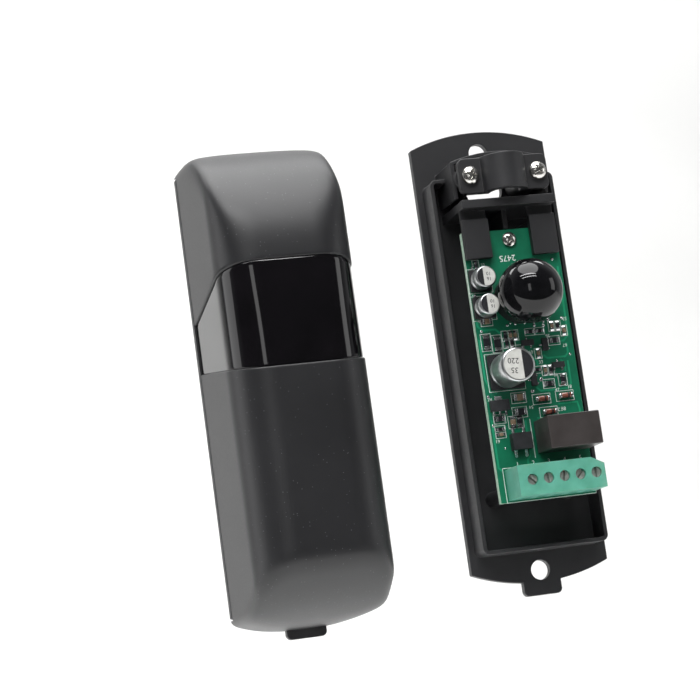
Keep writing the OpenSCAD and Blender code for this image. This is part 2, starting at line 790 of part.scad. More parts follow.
module terminal_screw(u, i) {
    color("#a9adb0") translate([way_x(u, i), way_y, board_face]) difference() {
        union() {
            translate([0, 0, well_floor]) cylinder(h = way_head_h, r = way_head_d / 2);
            translate([0, 0, way_tip]) cylinder(h = well_floor - way_tip + way_head_h / 2, r = way_screw_d / 2);
        }
        translate([0, 0, well_floor + way_head_h - way_slot_depth])
            slab([way_slot_w, way_head_d + lap, way_head_h]);
    }
}

// Wire cage: a ring that the screw draws up towards the strip
module terminal_cage(u, i) {
    inner = cage_w - 2 * cage_wall;
    color("#c8b06a") translate([way_x(u, i), way_y, board_face + cage_low]) difference() {
        translate([-cage_w / 2, -cage_front, 0]) cube([cage_w, cage_front + cage_back, cage_h]);
        translate([-inner / 2, -cage_front - lap, cage_wall])
            cube([inner, cage_front + cage_back + 2 * lap, cage_h - cage_wall - cage_top_t]);
        translate([0, 0, cage_h / 2]) cylinder(h = cage_h, r = way_screw_d / 2 + screw_gap);
    }
}

// Cover's cross section, inset by t: leaning sides and round shoulders to a flat front
module cover_section(t) {
    a = front_w / 2;
    r = shoulder_r - t;
    mid = cover_h - shoulder_r;
    half = cover_w / 2 - t / cos(side_lean) + lap * tan_lean;
    polygon([
        [-half, -lap], [half, -lap], [a + r * cos(side_lean), mid + r * sin(side_lean)], [a, mid],
        [a, cover_h + lap], [-a, cover_h + lap], [-a, mid],
        [-a - r * cos(side_lean), mid + r * sin(side_lean)]
    ]);
    for (s = [-1, 1]) translate([s * a, mid]) circle(r + shoulder_proud, $fn = 96);
}

// Arc from the wall at y = rim to the front at y = brow, bulging by bulge
function end_chord(rim, brow) = sqrt(pow(rim - brow, 2) + cover_h * cover_h);
function end_r(rim, brow, bulge) = (pow(end_chord(rim, brow), 2) / 4 + bulge * bulge) / (2 * bulge);
function end_middle(rim, brow, bulge) =
    let (c = end_chord(rim, brow), d = end_r(rim, brow, bulge) - bulge)
    [(rim + brow) / 2 - d * cover_h / c, cover_h / 2 - d * (rim - brow) / c];

// Upper half of the cover's side profile, inset by t: a flat front and a bulging end
module half_profile(rim, brow, bulge, t) {
    intersection() {
        translate([-lap, -2 * lap]) square([shell_far, cover_h - t + 2 * lap]);
        translate(end_middle(rim, brow, bulge)) circle(end_r(rim, brow, bulge) - t, $fn = 180);
    }
}

// Cover's whole side profile, inset by t
module cover_profile(t) {
    half_profile(cover_up, front_up, bulge_up, t);
    mirror([1, 0]) half_profile(cover_down, front_down, bulge_down, t);
}

// Solid form of the cover, inset all round by t, from just behind the wall's plane
module cover_form(t) {
    intersection() {
        translate([0, 0, -3 * lap]) linear_extrude(cover_h + 6 * lap)
            unit_outline(cover_gap + cover_wall - t, cover_gap + cover_wall + lap);
        translate([0, shell_far, 0]) rotate([90, 0, 0]) linear_extrude(2 * shell_far) cover_section(t);
        translate([-shell_far, 0, 0]) rotate([90, 0, 90])
            linear_extrude(2 * shell_far) cover_profile(t);
    }
}

// Everything from a height z back towards the wall and beyond it
module behind(z) translate([0, 0, z - shell_far]) slab([2 * shell_far, 2 * shell_far, shell_far]);

// Shell whose sides stand on the back plate, flush with it, and whose ends reach down past it
module cover_shell() {
    difference() {
        cover_form(0);
        cover_form(cover_wall);
        behind(0);
        translate([0, 0, -lap]) linear_extrude(plate_t + lap) unit_outline(cover_gap, cover_gap);
    }
}

// Raked edges that part the cover, each as y at the wall and y at the front, grown by the lip
function low_edge(grow) = [window_low + window_rise - grow, window_low - grow];
function up_edge(grow) = [window_up - window_rake + grow, window_up + grow];
function edge_at(edge, z) = edge[0] + (edge[1] - edge[0]) * z / cover_h;

// Everything between two raked edges
module band(low, up) {
    far = cover_h + 2 * lap;
    translate([-shell_far, 0, 0]) rotate([90, 0, 90]) linear_extrude(2 * shell_far) polygon([
        [edge_at(low, -far), -far], [edge_at(up, -far), -far],
        [edge_at(up, far), far], [edge_at(low, far), far]
    ]);
}

module cover_hood() {
    color("#2a2a2c") intersection() {
        cover_shell();
        band(up_edge(0), [shell_far, shell_far]);
    }
}

module cover_lower() {
    color("#2a2a2c") difference() {
        intersection() {
            cover_shell();
            band([-shell_far, -shell_far], low_edge(0));
        }
        translate([0, 0, -lap]) linear_extrude(plate_t + notch_gap + lap) tab_outline(notch_gap);
    }
}

// Window strip that wraps round the front, with a lip behind the hood and the lower cover
module window() {
    color("#141318") difference() {
        union() {
            intersection() {
                cover_form(window_recess);
                band(low_edge(0), up_edge(0));
            }
            intersection() {
                cover_form(cover_wall + seat_gap);
                band(low_edge(lip_l), up_edge(lip_l));
            }
        }
        cover_form(cover_wall + lip_t);
        behind(plate_t);
        intersection() {
            cover_form(cover_wall);
            behind(lip_low);
        }
    }
}

hang(receiver) base();  // receiver_base
hang(receiver) saddle();  // receiver_saddle
hang(receiver) saddle_screw(-1);  // receiver_saddle_screw_left
hang(receiver) saddle_screw(1);  // receiver_saddle_screw_right
hang(receiver) board(receiver);  // receiver_board
hang(receiver) board_screw();  // receiver_board_screw
hang(receiver) lens_tube();  // receiver_lens_tube
hang(receiver) lens();  // receiver_lens
hang(receiver) photodiode();  // receiver_photodiode
hang(receiver) main_capacitor();  // receiver_main_capacitor
hang(receiver) small_capacitors();  // receiver_small_capacitors
hang(receiver) relay_case();  // receiver_relay_case
hang(receiver) relay_base();  // receiver_relay_base
hang(receiver) relay_coil();  // receiver_relay_coil
hang(receiver) relay_armature();  // receiver_relay_armature
hang(receiver) bridge_rectifier();  // receiver_bridge_rectifier
hang(receiver) regulator();  // receiver_regulator
hang(receiver) glass_diodes(receiver_glass_shares);  // receiver_glass_diodes
hang(receiver) transistors(receiver_transistor_shares);  // receiver_transistors
hang(receiver)  // receiver_chip_parts
    chip_parts(receiver_small_shares, receiver_medium_shares, receiver_large_shares, receiver_diode_shares);
hang(receiver) terminal_housing(receiver);  // receiver_terminal_housing
hang(receiver) terminal_contacts(receiver);  // receiver_terminal_contacts
for (i = [1:receiver_ways]) {
    hang(receiver) terminal_screw(receiver, i);
    hang(receiver) terminal_cage(receiver, i);
}
hang(transmitter) base();  // transmitter_base
hang(transmitter) saddle();  // transmitter_saddle
hang(transmitter) saddle_screw(-1);  // transmitter_saddle_screw_left
hang(transmitter) saddle_screw(1);  // transmitter_saddle_screw_right
hang(transmitter) board(transmitter);  // transmitter_board
hang(transmitter) board_screw();  // transmitter_board_screw
hang(transmitter) lens_tube();  // transmitter_lens_tube
hang(transmitter) lens();  // transmitter_lens
hang(transmitter) emitter();  // transmitter_emitter
hang(transmitter) main_capacitor();  // transmitter_main_capacitor
hang(transmitter) regulator();  // transmitter_regulator
hang(transmitter) glass_diodes(transmitter_glass_shares);  // transmitter_glass_diodes
hang(transmitter) transistors(transmitter_transistor_shares);  // transmitter_transistors
hang(transmitter)  // transmitter_chip_parts
    chip_parts(transmitter_small_shares, transmitter_medium_shares, [], []);
hang(transmitter) terminal_housing(transmitter);  // transmitter_terminal_housing
hang(transmitter) terminal_contacts(transmitter);  // transmitter_terminal_contacts
for (i = [1:transmitter_ways]) {
    hang(transmitter) terminal_screw(transmitter, i);
    hang(transmitter) terminal_cage(transmitter, i);
}
hang(transmitter) cover_hood();  // transmitter_cover_hood
hang(transmitter) window();  // transmitter_window
hang(transmitter) cover_lower();  // transmitter_cover_lower
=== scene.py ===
"""Gate safety photocell: a closed transmitter and an open receiver, dressed for the photograph."""

import json
import math

import bmesh
import bpy
import numpy as np
from mathutils import Matrix, Vector

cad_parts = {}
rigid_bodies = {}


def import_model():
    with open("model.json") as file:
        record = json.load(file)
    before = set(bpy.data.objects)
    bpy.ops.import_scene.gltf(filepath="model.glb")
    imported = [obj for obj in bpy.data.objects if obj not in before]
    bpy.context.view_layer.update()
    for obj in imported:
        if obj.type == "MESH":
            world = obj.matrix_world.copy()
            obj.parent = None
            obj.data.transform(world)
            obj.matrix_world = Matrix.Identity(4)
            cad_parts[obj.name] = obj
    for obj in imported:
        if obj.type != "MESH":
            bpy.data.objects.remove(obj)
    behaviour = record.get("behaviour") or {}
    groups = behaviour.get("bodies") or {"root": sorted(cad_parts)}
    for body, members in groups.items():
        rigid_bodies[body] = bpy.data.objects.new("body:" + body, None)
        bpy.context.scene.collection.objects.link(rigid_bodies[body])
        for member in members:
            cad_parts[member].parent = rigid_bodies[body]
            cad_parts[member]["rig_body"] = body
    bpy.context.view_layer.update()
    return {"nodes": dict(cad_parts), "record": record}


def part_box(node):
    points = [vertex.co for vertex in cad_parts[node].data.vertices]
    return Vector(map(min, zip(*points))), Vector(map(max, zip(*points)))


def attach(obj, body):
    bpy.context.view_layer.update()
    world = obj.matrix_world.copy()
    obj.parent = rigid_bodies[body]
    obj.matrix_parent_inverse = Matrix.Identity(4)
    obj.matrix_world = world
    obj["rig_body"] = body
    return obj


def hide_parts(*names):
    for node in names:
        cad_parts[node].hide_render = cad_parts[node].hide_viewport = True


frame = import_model()
nodes = frame["nodes"]

MM = 0.001
# Points of a CAD mesh nearer than this, in metres, are one, and faces that turn less are one flat face
CAD_MERGE, CAD_FLAT = 2e-6, 0.008
# In a unit's own millimetres: the board's face out from the wall, and the terminals' pitch
BOARD_FACE = 14.4
TERMINAL_PITCH = 3.81
# How far print stands above what it is on, and the font size for each mm of a digit's height
PRINT_LIFT, FONT_SIZE = 0.012, 1.35
# How far printed frames stand clear of chips and diodes, of cans and of the terminals
CLEAR_OF_CHIP, CLEAR_OF_CAN, CLEAR_OF_BLOCK = 0.42, 0.3, 0.45
# Shares of a chip's length: its body, each tinned end, and how far out the middle of an end lies
CHIP_BODY, CHIP_END, CHIP_END_OUT = 0.62, 0.22, 0.39
# How long a chip's solder is, and how far beyond the chip its middle lies
SOLDER_LONG, SOLDER_OUT = 0.5, 0.12
# The ball lens's radius, and the angle in radians by which it is cut flat where it meets its tube
BALL, BALL_FLAT = 7.4, 0.55


def hang(unit):
    """A unit's own millimetres (x, up, out from the wall) set into the frame's metres."""
    for mount in frame["record"]["mounts"]:
        if mount["name"] == unit + "_wall_holes":
            where = mount["pos_m"]
    across = Matrix.Translation((where[0], 0, where[2]))
    return across @ Matrix.Rotation(math.radians(90), 4, "X") @ Matrix.Scale(MM, 4)


HANG = {unit: hang(unit) for unit in ("receiver", "transmitter")}


def linear(hex_value):
    """An sRGB hex value as linear red, green, blue and alpha."""
    made = []
    for i in (1, 3, 5):
        c = int(hex_value[i:i + 2], 16) / 255
        made.append(c / 12.92 if c <= 0.04045 else ((c + 0.055) / 1.055) ** 2.4)
    return (*made, 1.0)


def node(tree, kind, inputs=None, **settings):
    """Adds a node; an input that is a socket is linked and any other is a set value."""
    made = tree.nodes.new(kind)
    for key, value in settings.items():
        setattr(made, key, value)
    for key, value in (inputs or {}).items():
        if isinstance(value, bpy.types.NodeSocket):
            tree.links.new(value, made.inputs[key])
        else:
            made.inputs[key].default_value = value
    return made


def finish(name, dark, light, patch, rough, grain, depth, **sockets):
    """A surface of two close tones in soft patches, with a fine grain.

    patch and grain are the widths of the tone patches and of the grain in mm, rough is the least
    and most roughness, and depth is the grain's height in mm. The rest set the shader's sockets.
    """
    made = bpy.data.materials.new(name)
    made.use_nodes = True
    tree = made.node_tree
    tree.nodes.clear()
    where = node(tree, "ShaderNodeTexCoord").outputs["Object"]
    tone = node(tree, "ShaderNodeTexNoise", {"Vector": where, "Scale": 1 / (patch * MM), "Detail": 3.0})
    sand = node(tree, "ShaderNodeTexNoise", {"Vector": where, "Scale": 1 / (grain * MM), "Detail": 2.0})
    level = node(tree, "ShaderNodeMapRange", {0: tone.outputs["Fac"], 1: 0.3, 2: 0.7})
    colour = node(
        tree, "ShaderNodeMix", {0: level.outputs[0], 6: linear(dark), 7: linear(light)}, data_type="RGBA"
    )
    gloss = node(tree, "ShaderNodeMapRange", {0: sand.outputs["Fac"], 3: rough[0], 4: rough[1]})
    bump = node(tree, "ShaderNodeBump", {"Distance": depth * MM, "Height": sand.outputs["Fac"]})
    shader = node(
        tree,
        "ShaderNodeBsdfPrincipled",
        {"Base Color": colour.outputs[2], "Roughness": gloss.outputs[0], "Normal": bump.outputs[0]},
    )
    for key, value in sockets.items():
        shader.inputs[key.replace("_", " ")].default_value = value
    node(tree, "ShaderNodeOutputMaterial", {"Surface": shader.outputs[0]})
    return made


def part_of(made, kind):
    """The one node of a kind in a finish."""
    return next(n for n in made.node_tree.nodes if n.bl_idname == kind)


def dusted(made, cell, share, speck, colour):
    """Scatters small specks over a finish: one in each cell of that many mm, where it is kept."""
    tree = made.node_tree
    where = part_of(made, "ShaderNodeTexCoord").outputs["Object"]
    dots = node(tree, "ShaderNodeTexVoronoi", {"Vector": where, "Scale": 1 / (cell * MM)})
    small = node(
        tree, "ShaderNodeMath", {0: dots.outputs["Distance"], 1: speck / cell}, operation="LESS_THAN"
    )
    pick = node(tree, "ShaderNodeSeparateColor", {0: dots.outputs["Color"]})
    kept = node(tree, "ShaderNodeMath", {0: pick.outputs[0], 1: share}, operation="LESS_THAN")
    both = node(tree, "ShaderNodeMath", {0: small.outputs[0], 1: kept.outputs[0]}, operation="MULTIPLY")
    shader = part_of(made, "ShaderNodeBsdfPrincipled")
    below = shader.inputs["Base Color"].links[0].from_socket
    mixed = node(tree, "ShaderNodeMix", {0: both.outputs[0], 6: below, 7: linear(colour)}, data_type="RGBA")
    tree.links.new(mixed.outputs[2], shader.inputs["Base Color"])
    return made


# Black ABS of the base: moulded against polished steel, so it shows a satin sheen and soft edges
BASE = finish("satin_moulded_abs", "#1b1b1d", "#232325", 9, (0.44, 0.58), 0.5, 0.006, IOR=1.53)
# Charcoal ABS of the cover: fine spark-eroded grain, matte, with a little dust on it
COVER = dusted(
    finish("matte_cover_abs", "#18181a", "#1e1e20", 14, (0.38, 0.48), 0.35, 0.012, IOR=1.5),
    0.8, 0.3, 0.1, "#515154",
)
# Window and lens: polished acrylic dyed to pass infrared only, so it looks glossy black
WINDOW = finish("polished_dyed_acrylic", "#060507", "#0c0a0d", 12, (0.05, 0.09), 4, 0.002, IOR=1.49)
LENS = finish("polished_ball_acrylic", "#08080a", "#121214", 6, (0.05, 0.09), 3, 0.001, IOR=1.42)
# Solder mask over glass fibre: deep green and smooth, and its copper shows lighter through it
MASK = finish("green_solder_mask", "#095a40", "#0e6d4e", 5, (0.30, 0.42), 0.6, 0.003)
TRACK = finish("masked_copper_track", "#17805a", "#1f8f69", 3, (0.30, 0.42), 0.6, 0.003)
FIBRE = finish("cut_glass_fibre_edge", "#8fae98", "#b9cdbd", 0.8, (0.6, 0.8), 0.3, 0.02)
# Printed white ink, slightly thin and broken
INK = finish("white_screen_ink", "#c3cec8", "#eef2ef", 0.5, (0.5, 0.7), 0.3, 0.004)
# Tin: bright solder with a slightly rippled skin
TIN = finish("bright_tin_solder", "#b9bcbd", "#e6e8e8", 0.8, (0.12, 0.3), 0.6, 0.03, Metallic=1.0)
# Zinc-plated steel of the pan heads
STEEL = finish("zinc_plated_steel", "#c2c0bb", "#e4e2dd", 0.9, (0.16, 0.30), 0.4, 0.012, Metallic=1.0)
# Slotted screws down in their wells, duller with handling
WELL_STEEL = finish("dull_plated_screw", "#8f918d", "#b9bbb5", 0.8, (0.3, 0.45), 0.3, 0.01, Metallic=0.45)
# Drawn aluminium of the capacitor cans, and the lacquered end that takes the print
CAN = finish("drawn_aluminium_can", "#b4b6b7", "#cfd1d2", 2.2, (0.24, 0.36), 0.3, 0.004, Metallic=1.0)
CAN_TOP = finish("lacquered_can_top", "#c9c9c4", "#dcdcd7", 1.2, (0.35, 0.5), 0.3, 0.006, Metallic=0.25)
PRINT = finish("black_can_print", "#17171a", "#232327", 0.8, (0.4, 0.55), 0.3, 0.004)
# Phenolic feet, chip bodies and moulded packages
FOOT = finish("black_phenolic_foot", "#121214", "#1d1d20", 2, (0.45, 0.6), 0.4, 0.01)
EPOXY = finish("moulded_epoxy_package", "#1b1c1e", "#27282b", 1.5, (0.5, 0.65), 0.25, 0.012)
CHIP_BLACK = finish("glazed_resistor_face", "#141417", "#24242a", 0.6, (0.25, 0.4), 0.3, 0.004)
CHIP_TAN = finish("fired_capacitor_ceramic", "#6d5b48", "#8a7761", 0.8, (0.4, 0.55), 0.25, 0.006)
# Glass diodes: the red-brown dumet seal shows through clear glass
GLASS = finish("red_sealed_glass", "#5e261c", "#93594a", 0.9, (0.05, 0.12), 0.8, 0.004, Coat_Weight=1.0)
BAND = finish("black_diode_band", "#101012", "#1c1c1e", 0.6, (0.3, 0.45), 0.3, 0.003)
# Pale green polyamide of the terminal block: satin, a little chalky
BLOCK = finish("green_polyamide", "#4c917c", "#5ca18e", 3.5, (0.36, 0.5), 0.5, 0.008, Subsurface_Weight=0.05)
# Dark brown-grey PBT of the relay case
RELAY = finish("relay_case_pbt", "#322e2d", "#3c3837", 4, (0.30, 0.42), 0.35, 0.01)
# Nickel-plated brass of the terminal cages, worn to a warm tone
BRASS = finish("nickelled_brass_cage", "#a8925c", "#c9b47a", 1, (0.3, 0.42), 0.3, 0.01, Metallic=1.0)
# Enamelled copper wire of the relay's coil
WINDING = finish("enamelled_copper_wire", "#8a3d1c", "#b35f33", 0.5, (0.25, 0.4), 0.12, 0.03, Metallic=0.6)
# Dark tinted resin of the photodiode and the emitter
RESIN = finish("dark_emitter_resin", "#141a26", "#202a3a", 1.2, (0.08, 0.16), 0.8, 0.002, Coat_Weight=0.5)


def link(name, mesh):
    """An object at the origin that shows a mesh."""
    made = bpy.data.objects.new(name, mesh)
    bpy.context.scene.collection.objects.link(made)
    return made


def settled(thing):
    """The mesh that an object has once its modifiers are done; the object itself is removed."""
    bpy.context.view_layer.update()
    done = thing.evaluated_get(bpy.context.evaluated_depsgraph_get())
    mesh = bpy.data.meshes.new_from_object(done)
    bpy.data.objects.remove(thing)
    return mesh


def mesh_of(name, shape):
    """The mesh of a bmesh shape, which is used up."""
    mesh = bpy.data.meshes.new(name)
    shape.to_mesh(mesh)
    shape.free()
    return mesh


def mounted(name, mesh, finishes, body, stands_for=(), unit=None, sharp=35):
    """Makes a mesh into a finished piece on its body. With a unit, the mesh is in its millimetres."""
    if unit:
        mesh.transform(HANG[unit])
    # Clearing the list would lose the faces' numbers, so a list of the right length is kept
    if len(mesh.materials) != len(finishes):
        mesh.materials.clear()
        for one in finishes:
            mesh.materials.append(one)
    for i, one in enumerate(finishes):
        mesh.materials[i] = one
    if sharp:
        mesh.shade_smooth()
        mesh.set_sharp_from_angle(angle=math.radians(sharp))
    made = link(name, mesh)
    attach(made, body)
    if stands_for:
        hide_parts(*stands_for)


def copied(name):
    """A merged copy of a CAD node's mesh, with its flat faces whole again."""
    shape = bmesh.new()
    shape.from_mesh(nodes[name].data)
    bmesh.ops.remove_doubles(shape, verts=shape.verts, dist=CAD_MERGE)
    bmesh.ops.dissolve_limit(shape, angle_limit=CAD_FLAT, verts=shape.verts[:], edges=shape.edges[:])
    return shape


def softened(name, width, finishes, rule=None, turn=0.0, segments=2):
    """A CAD node with its edges rounded by that many mm. rule gives a face's finish by its number."""
    shape = copied(name)
    if turn:
        low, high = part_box(name)
        middle = (low + high) / 2
        bmesh.ops.rotate(
            shape, verts=shape.verts, cent=middle, matrix=Matrix.Rotation(math.radians(turn), 3, "Y")
        )
    if rule:
        for face in shape.faces:
            face.material_index = rule(face)
    mesh = mesh_of(name + "_dressed", shape)
    for one in finishes:
        mesh.materials.append(one)
    raw = link("soften", mesh)
    bevel = raw.modifiers.new("edges", "BEVEL")
    bevel.width = width * MM
    bevel.segments = segments
    bevel.limit_method = "ANGLE"
    bevel.angle_limit = math.radians(32)
    even = raw.modifiers.new("flat_faces", "WEIGHTED_NORMAL")
    even.weight = 100
    even.keep_sharp = True
    mesh.shade_smooth()
    mesh = settled(raw)
    mounted(name + "_dressed", mesh, finishes, nodes[name]["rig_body"], [name], sharp=0)


def dress(name, made):
    """Gives a CAD node that keeps its own shape its finish."""
    for one in nodes[name].material_slots:
        one.material = made


def grid(shape, rows):
    """Quads between rows of points."""
    made = [[shape.verts.new(p) for p in row] for row in rows]
    for a, b in zip(made, made[1:]):
        for i in range(len(a) - 1):
            shape.faces.new((a[i], a[i + 1], b[i + 1], b[i]))


def closed(shape, dist=0.002):
    """Merges doubles, fills what is open and turns the faces outwards."""
    bmesh.ops.remove_doubles(shape, verts=shape.verts, dist=dist)
    open_edges = [e for e in shape.edges if len(e.link_faces) == 1]
    if open_edges:
        bmesh.ops.holes_fill(shape, edges=open_edges, sides=0)
    bmesh.ops.recalc_face_normals(shape, faces=shape.faces)
    return shape


def turned_form(profile, steps):
    """A lathe form about the out axis from (radius, out) points, closed at its ends."""
    rows = []
    for k in range(steps + 1):
        a = 2 * math.pi * k / steps
        rows.append([(r * math.cos(a), r * math.sin(a), z) for r, z in profile])
    shape = bmesh.new()
    grid(shape, rows)
    return closed(shape, 0.0005)


def slab_form(size, edge, base=0.0):
    """A small rounded slab that stands on base."""
    shape = bmesh.new()
    bmesh.ops.create_cube(shape, size=1)
    bmesh.ops.scale(shape, vec=size, verts=shape.verts)
    bmesh.ops.translate(shape, vec=(0, 0, base + size[2] / 2), verts=shape.verts)
    bmesh.ops.bevel(
        shape, geom=shape.edges[:], offset=edge, segments=2, profile=0.5, affect="EDGES"
    )
    return shape


def thick_plate(shape, outline, low, high):
    """A flat plate with a counter-clockwise outline, between two heights."""
    under = [shape.verts.new((x, y, low)) for x, y in outline]
    over = [shape.verts.new((x, y, high)) for x, y in outline]
    shape.faces.new(over)
    shape.faces.new(under[::-1])
    for i in range(len(outline)):
        j = (i + 1) % len(outline)
        shape.faces.new((under[i], under[j], over[j], over[i]))


def inputs_of(tree):
    """The identifier of each of a tree's named inputs."""
    return {
        item.name: item.identifier
        for item in tree.interface.items_tree
        if item.item_type == "SOCKET" and item.in_out == "INPUT"
    }


def small_parts_tree():
    """Sets one small form on every point, turned and sized by the point's own values."""
    tree = bpy.data.node_groups.new("small_parts_on_board", "GeometryNodeTree")
    face = tree.interface
    face.new_socket("Points", in_out="INPUT", socket_type="NodeSocketGeometry")
    face.new_socket("Form", in_out="INPUT", socket_type="NodeSocketObject")
    face.new_socket("Finish", in_out="INPUT", socket_type="NodeSocketMaterial")
    face.new_socket("Size", in_out="INPUT", socket_type="NodeSocketFloat")
    face.new_socket("Parts", in_out="OUTPUT", socket_type="NodeSocketGeometry")
    given = node(tree, "NodeGroupInput")
    form = node(tree, "GeometryNodeObjectInfo", {"Object": given.outputs["Form"]})
    turn = node(tree, "GeometryNodeInputNamedAttribute", {"Name": "turn"}, data_type="FLOAT")
    span = node(tree, "GeometryNodeInputNamedAttribute", {"Name": "span"}, data_type="FLOAT_VECTOR")
    about = node(tree, "ShaderNodeCombineXYZ", {"Z": turn.outputs["Attribute"]})
    size = node(
        tree, "ShaderNodeVectorMath",
        {0: span.outputs["Attribute"], "Scale": given.outputs["Size"]}, operation="SCALE",
    )
    placed = node(
        tree, "GeometryNodeInstanceOnPoints",
        {
            "Points": given.outputs["Points"], "Instance": form.outputs["Geometry"],
            "Rotation": about.outputs[0], "Scale": size.outputs[0],
        },
    )
    real = node(tree, "GeometryNodeRealizeInstances", {"Geometry": placed.outputs[0]})
    dressed = node(
        tree, "GeometryNodeSetMaterial",
        {"Geometry": real.outputs[0], "Material": given.outputs["Finish"]},
    )
    node(tree, "NodeGroupOutput", {"Parts": dressed.outputs[0]})
    return tree


def drawn_lines_tree():
    """Lays a flat strip along every drawn line, as etched copper or printed ink."""
    tree = bpy.data.node_groups.new("lines_on_board", "GeometryNodeTree")
    face = tree.interface
    face.new_socket("Lines", in_out="INPUT", socket_type="NodeSocketGeometry")
    face.new_socket("Width", in_out="INPUT", socket_type="NodeSocketFloat")
    face.new_socket("Thickness", in_out="INPUT", socket_type="NodeSocketFloat")
    face.new_socket("Finish", in_out="INPUT", socket_type="NodeSocketMaterial")
    face.new_socket("Strips", in_out="OUTPUT", socket_type="NodeSocketGeometry")
    given = node(tree, "NodeGroupInput")
    curve = node(tree, "GeometryNodeMeshToCurve", {"Mesh": given.outputs["Lines"]})
    upright = node(tree, "GeometryNodeSetCurveNormal", {"Curve": curve.outputs[0]}, mode="Z_UP")
    section = node(
        tree, "GeometryNodeCurvePrimitiveQuadrilateral",
        {0: given.outputs["Width"], 1: given.outputs["Thickness"]},
    )
    strip = node(
        tree, "GeometryNodeCurveToMesh",
        {"Curve": upright.outputs[0], "Profile Curve": section.outputs[0], "Fill Caps": True},
    )
    real = node(tree, "GeometryNodeRealizeInstances", {"Geometry": strip.outputs[0]})
    dressed = node(
        tree, "GeometryNodeSetMaterial",
        {"Geometry": real.outputs[0], "Material": given.outputs["Finish"]},
    )
    node(tree, "NodeGroupOutput", {"Strips": dressed.outputs[0]})
    return tree


SMALL_PARTS = small_parts_tree()
DRAWN_LINES = drawn_lines_tree()


def small_parts(name, form, places, made, unit, stands_for=(), sharp=35):
    """Copies a form onto places: x, up, out, turn in degrees and the scale along each axis."""
    pattern = link("pattern", mesh_of("pattern", form))
    points = bpy.data.meshes.new(name)
    points.from_pydata([p[:3] for p in places], [], [])
    turn = points.attributes.new("turn", "FLOAT", "POINT")
    span = points.attributes.new("span", "FLOAT_VECTOR", "POINT")
    turn.data.foreach_set("value", [math.radians(p[3]) for p in places])
    span.data.foreach_set("vector", [v for p in places for v in p[4:7]])
    host = link("host", points)
    work = host.modifiers.new("parts", "NODES")
    work.node_group = SMALL_PARTS
    names = inputs_of(SMALL_PARTS)
    work[names["Form"]] = pattern
    work[names["Finish"]] = made
    work[names["Size"]] = 1.0
    mesh = settled(host)
    bpy.data.objects.remove(pattern)
    mounted(name, mesh, [made], "fixed", stands_for, unit, sharp)


def drawn_lines(name, lines, width, thick, out, made, unit):
    """Strips along lines of (x, up) points; a line that ends where it starts is closed."""
    points, edges = [], []
    for line in lines:
        start = len(points)
        ring = line[0] == line[-1]
        kept = line[:-1] if ring else line
        points += [(p[0], p[1], out) for p in kept]
        edges += [(start + i, start + i + 1) for i in range(len(kept) - 1)]
        if ring:
            edges.append((start + len(kept) - 1, start))
    mesh = bpy.data.meshes.new(name)
    mesh.from_pydata(points, edges, [])
    host = link("host", mesh)
    work = host.modifiers.new("lines", "NODES")
    work.node_group = DRAWN_LINES
    names = inputs_of(DRAWN_LINES)
    work[names["Width"]] = width
    work[names["Thickness"]] = thick
    work[names["Finish"]] = made
    mounted(name, settled(host), [made], "fixed", unit=unit)


def digits(name, words, made, unit, thick):
    """Plain numbers of (text, x, up, out, height, turn in degrees), joined in one mesh."""
    shape = bmesh.new()
    for text, x, up, out, height, turn in words:
        curve = bpy.data.curves.new("digits", "FONT")
        curve.body = text
        curve.size = height * FONT_SIZE
        curve.align_x = "CENTER"
        curve.align_y = "CENTER"
        curve.extrude = thick / 2
        curve.resolution_u = 3
        mesh = settled(link("digits", curve))
        place = Matrix.Translation((x, up, out)) @ Matrix.Rotation(math.radians(turn), 4, "Z")
        mesh.transform(place)
        shape.from_mesh(mesh)
    bmesh.ops.remove_doubles(shape, verts=shape.verts, dist=0.001)
    bmesh.ops.recalc_face_normals(shape, faces=shape.faces)
    mounted(name, mesh_of(name, shape), [made], "fixed", (), unit, 30)


# The cover in its unit's millimetres: half its width, its depth and its wall, and the back plate
HALF_WIDE, DEEP, WALL = 16.7, 34.4, 1.0
PLATE = 2.1
# Half of the flat front, the lean of the sides, and the radius of the shoulders between the two
FRONT_HALF = 6.2
LEAN = math.radians(2.5)
SHOULDER = (HALF_WIDE - FRONT_HALF - DEEP * math.tan(LEAN)) / (1 / math.cos(LEAN) - math.tan(LEAN))
# How far up and down the domed ends start
STRAIGHT = 28.0
# Steps in a quarter turn, and points in a half turn
ROUND = 72
HALF_TURN = 2 * ROUND + 1
# The bowed ends of the back plate: their radius, the gap to the cover, and how far out their middles lie
BOW = 42.71
GAP = 0.4
MIDDLE_UP, MIDDLE_DOWN = 12.49, 10.09
# The window's two raked edges: how far up at the wall, and how much further by the front
HOOD_EDGE, HOOD_RAKE = 16.8, 8.4
LOWER_EDGE, LOWER_RAKE = 6.3, -4.8
# How far the ridges are rounded at the top end, at the bottom end and round the outline
SOFT_TOP, SOFT_BOTTOM, SOFT_OUTLINE = 5.0, 4.0, 2.4
# The top's rounding grows from one height over a distance, and keeps a least share below
SOFT_FROM, SOFT_OVER, SOFT_LEAST = 4, 16, 0.02
# The search for the skin: how far it looks, and how often it halves
REACH, HALVINGS = 90.0, 44


def end_arc(rim, brow, bulge):
    """The middle (up, out) and radius of a cover end's arc, from its rim to its brow."""
    chord = math.hypot(rim - brow, DEEP)
    r = (chord * chord / 4 + bulge * bulge) / (2 * bulge)
    off = r - bulge
    return (rim + brow) / 2 - off * DEEP / chord, DEEP / 2 - off * (rim - brow) / chord, r


# Each end's rim and brow, as distances from the middle, and how far its arc bulges from their chord
TOP_ARC = end_arc(56.6, 31.0, 6.7)
BOTTOM_ARC = end_arc(54.2, 41.0, 3.2)


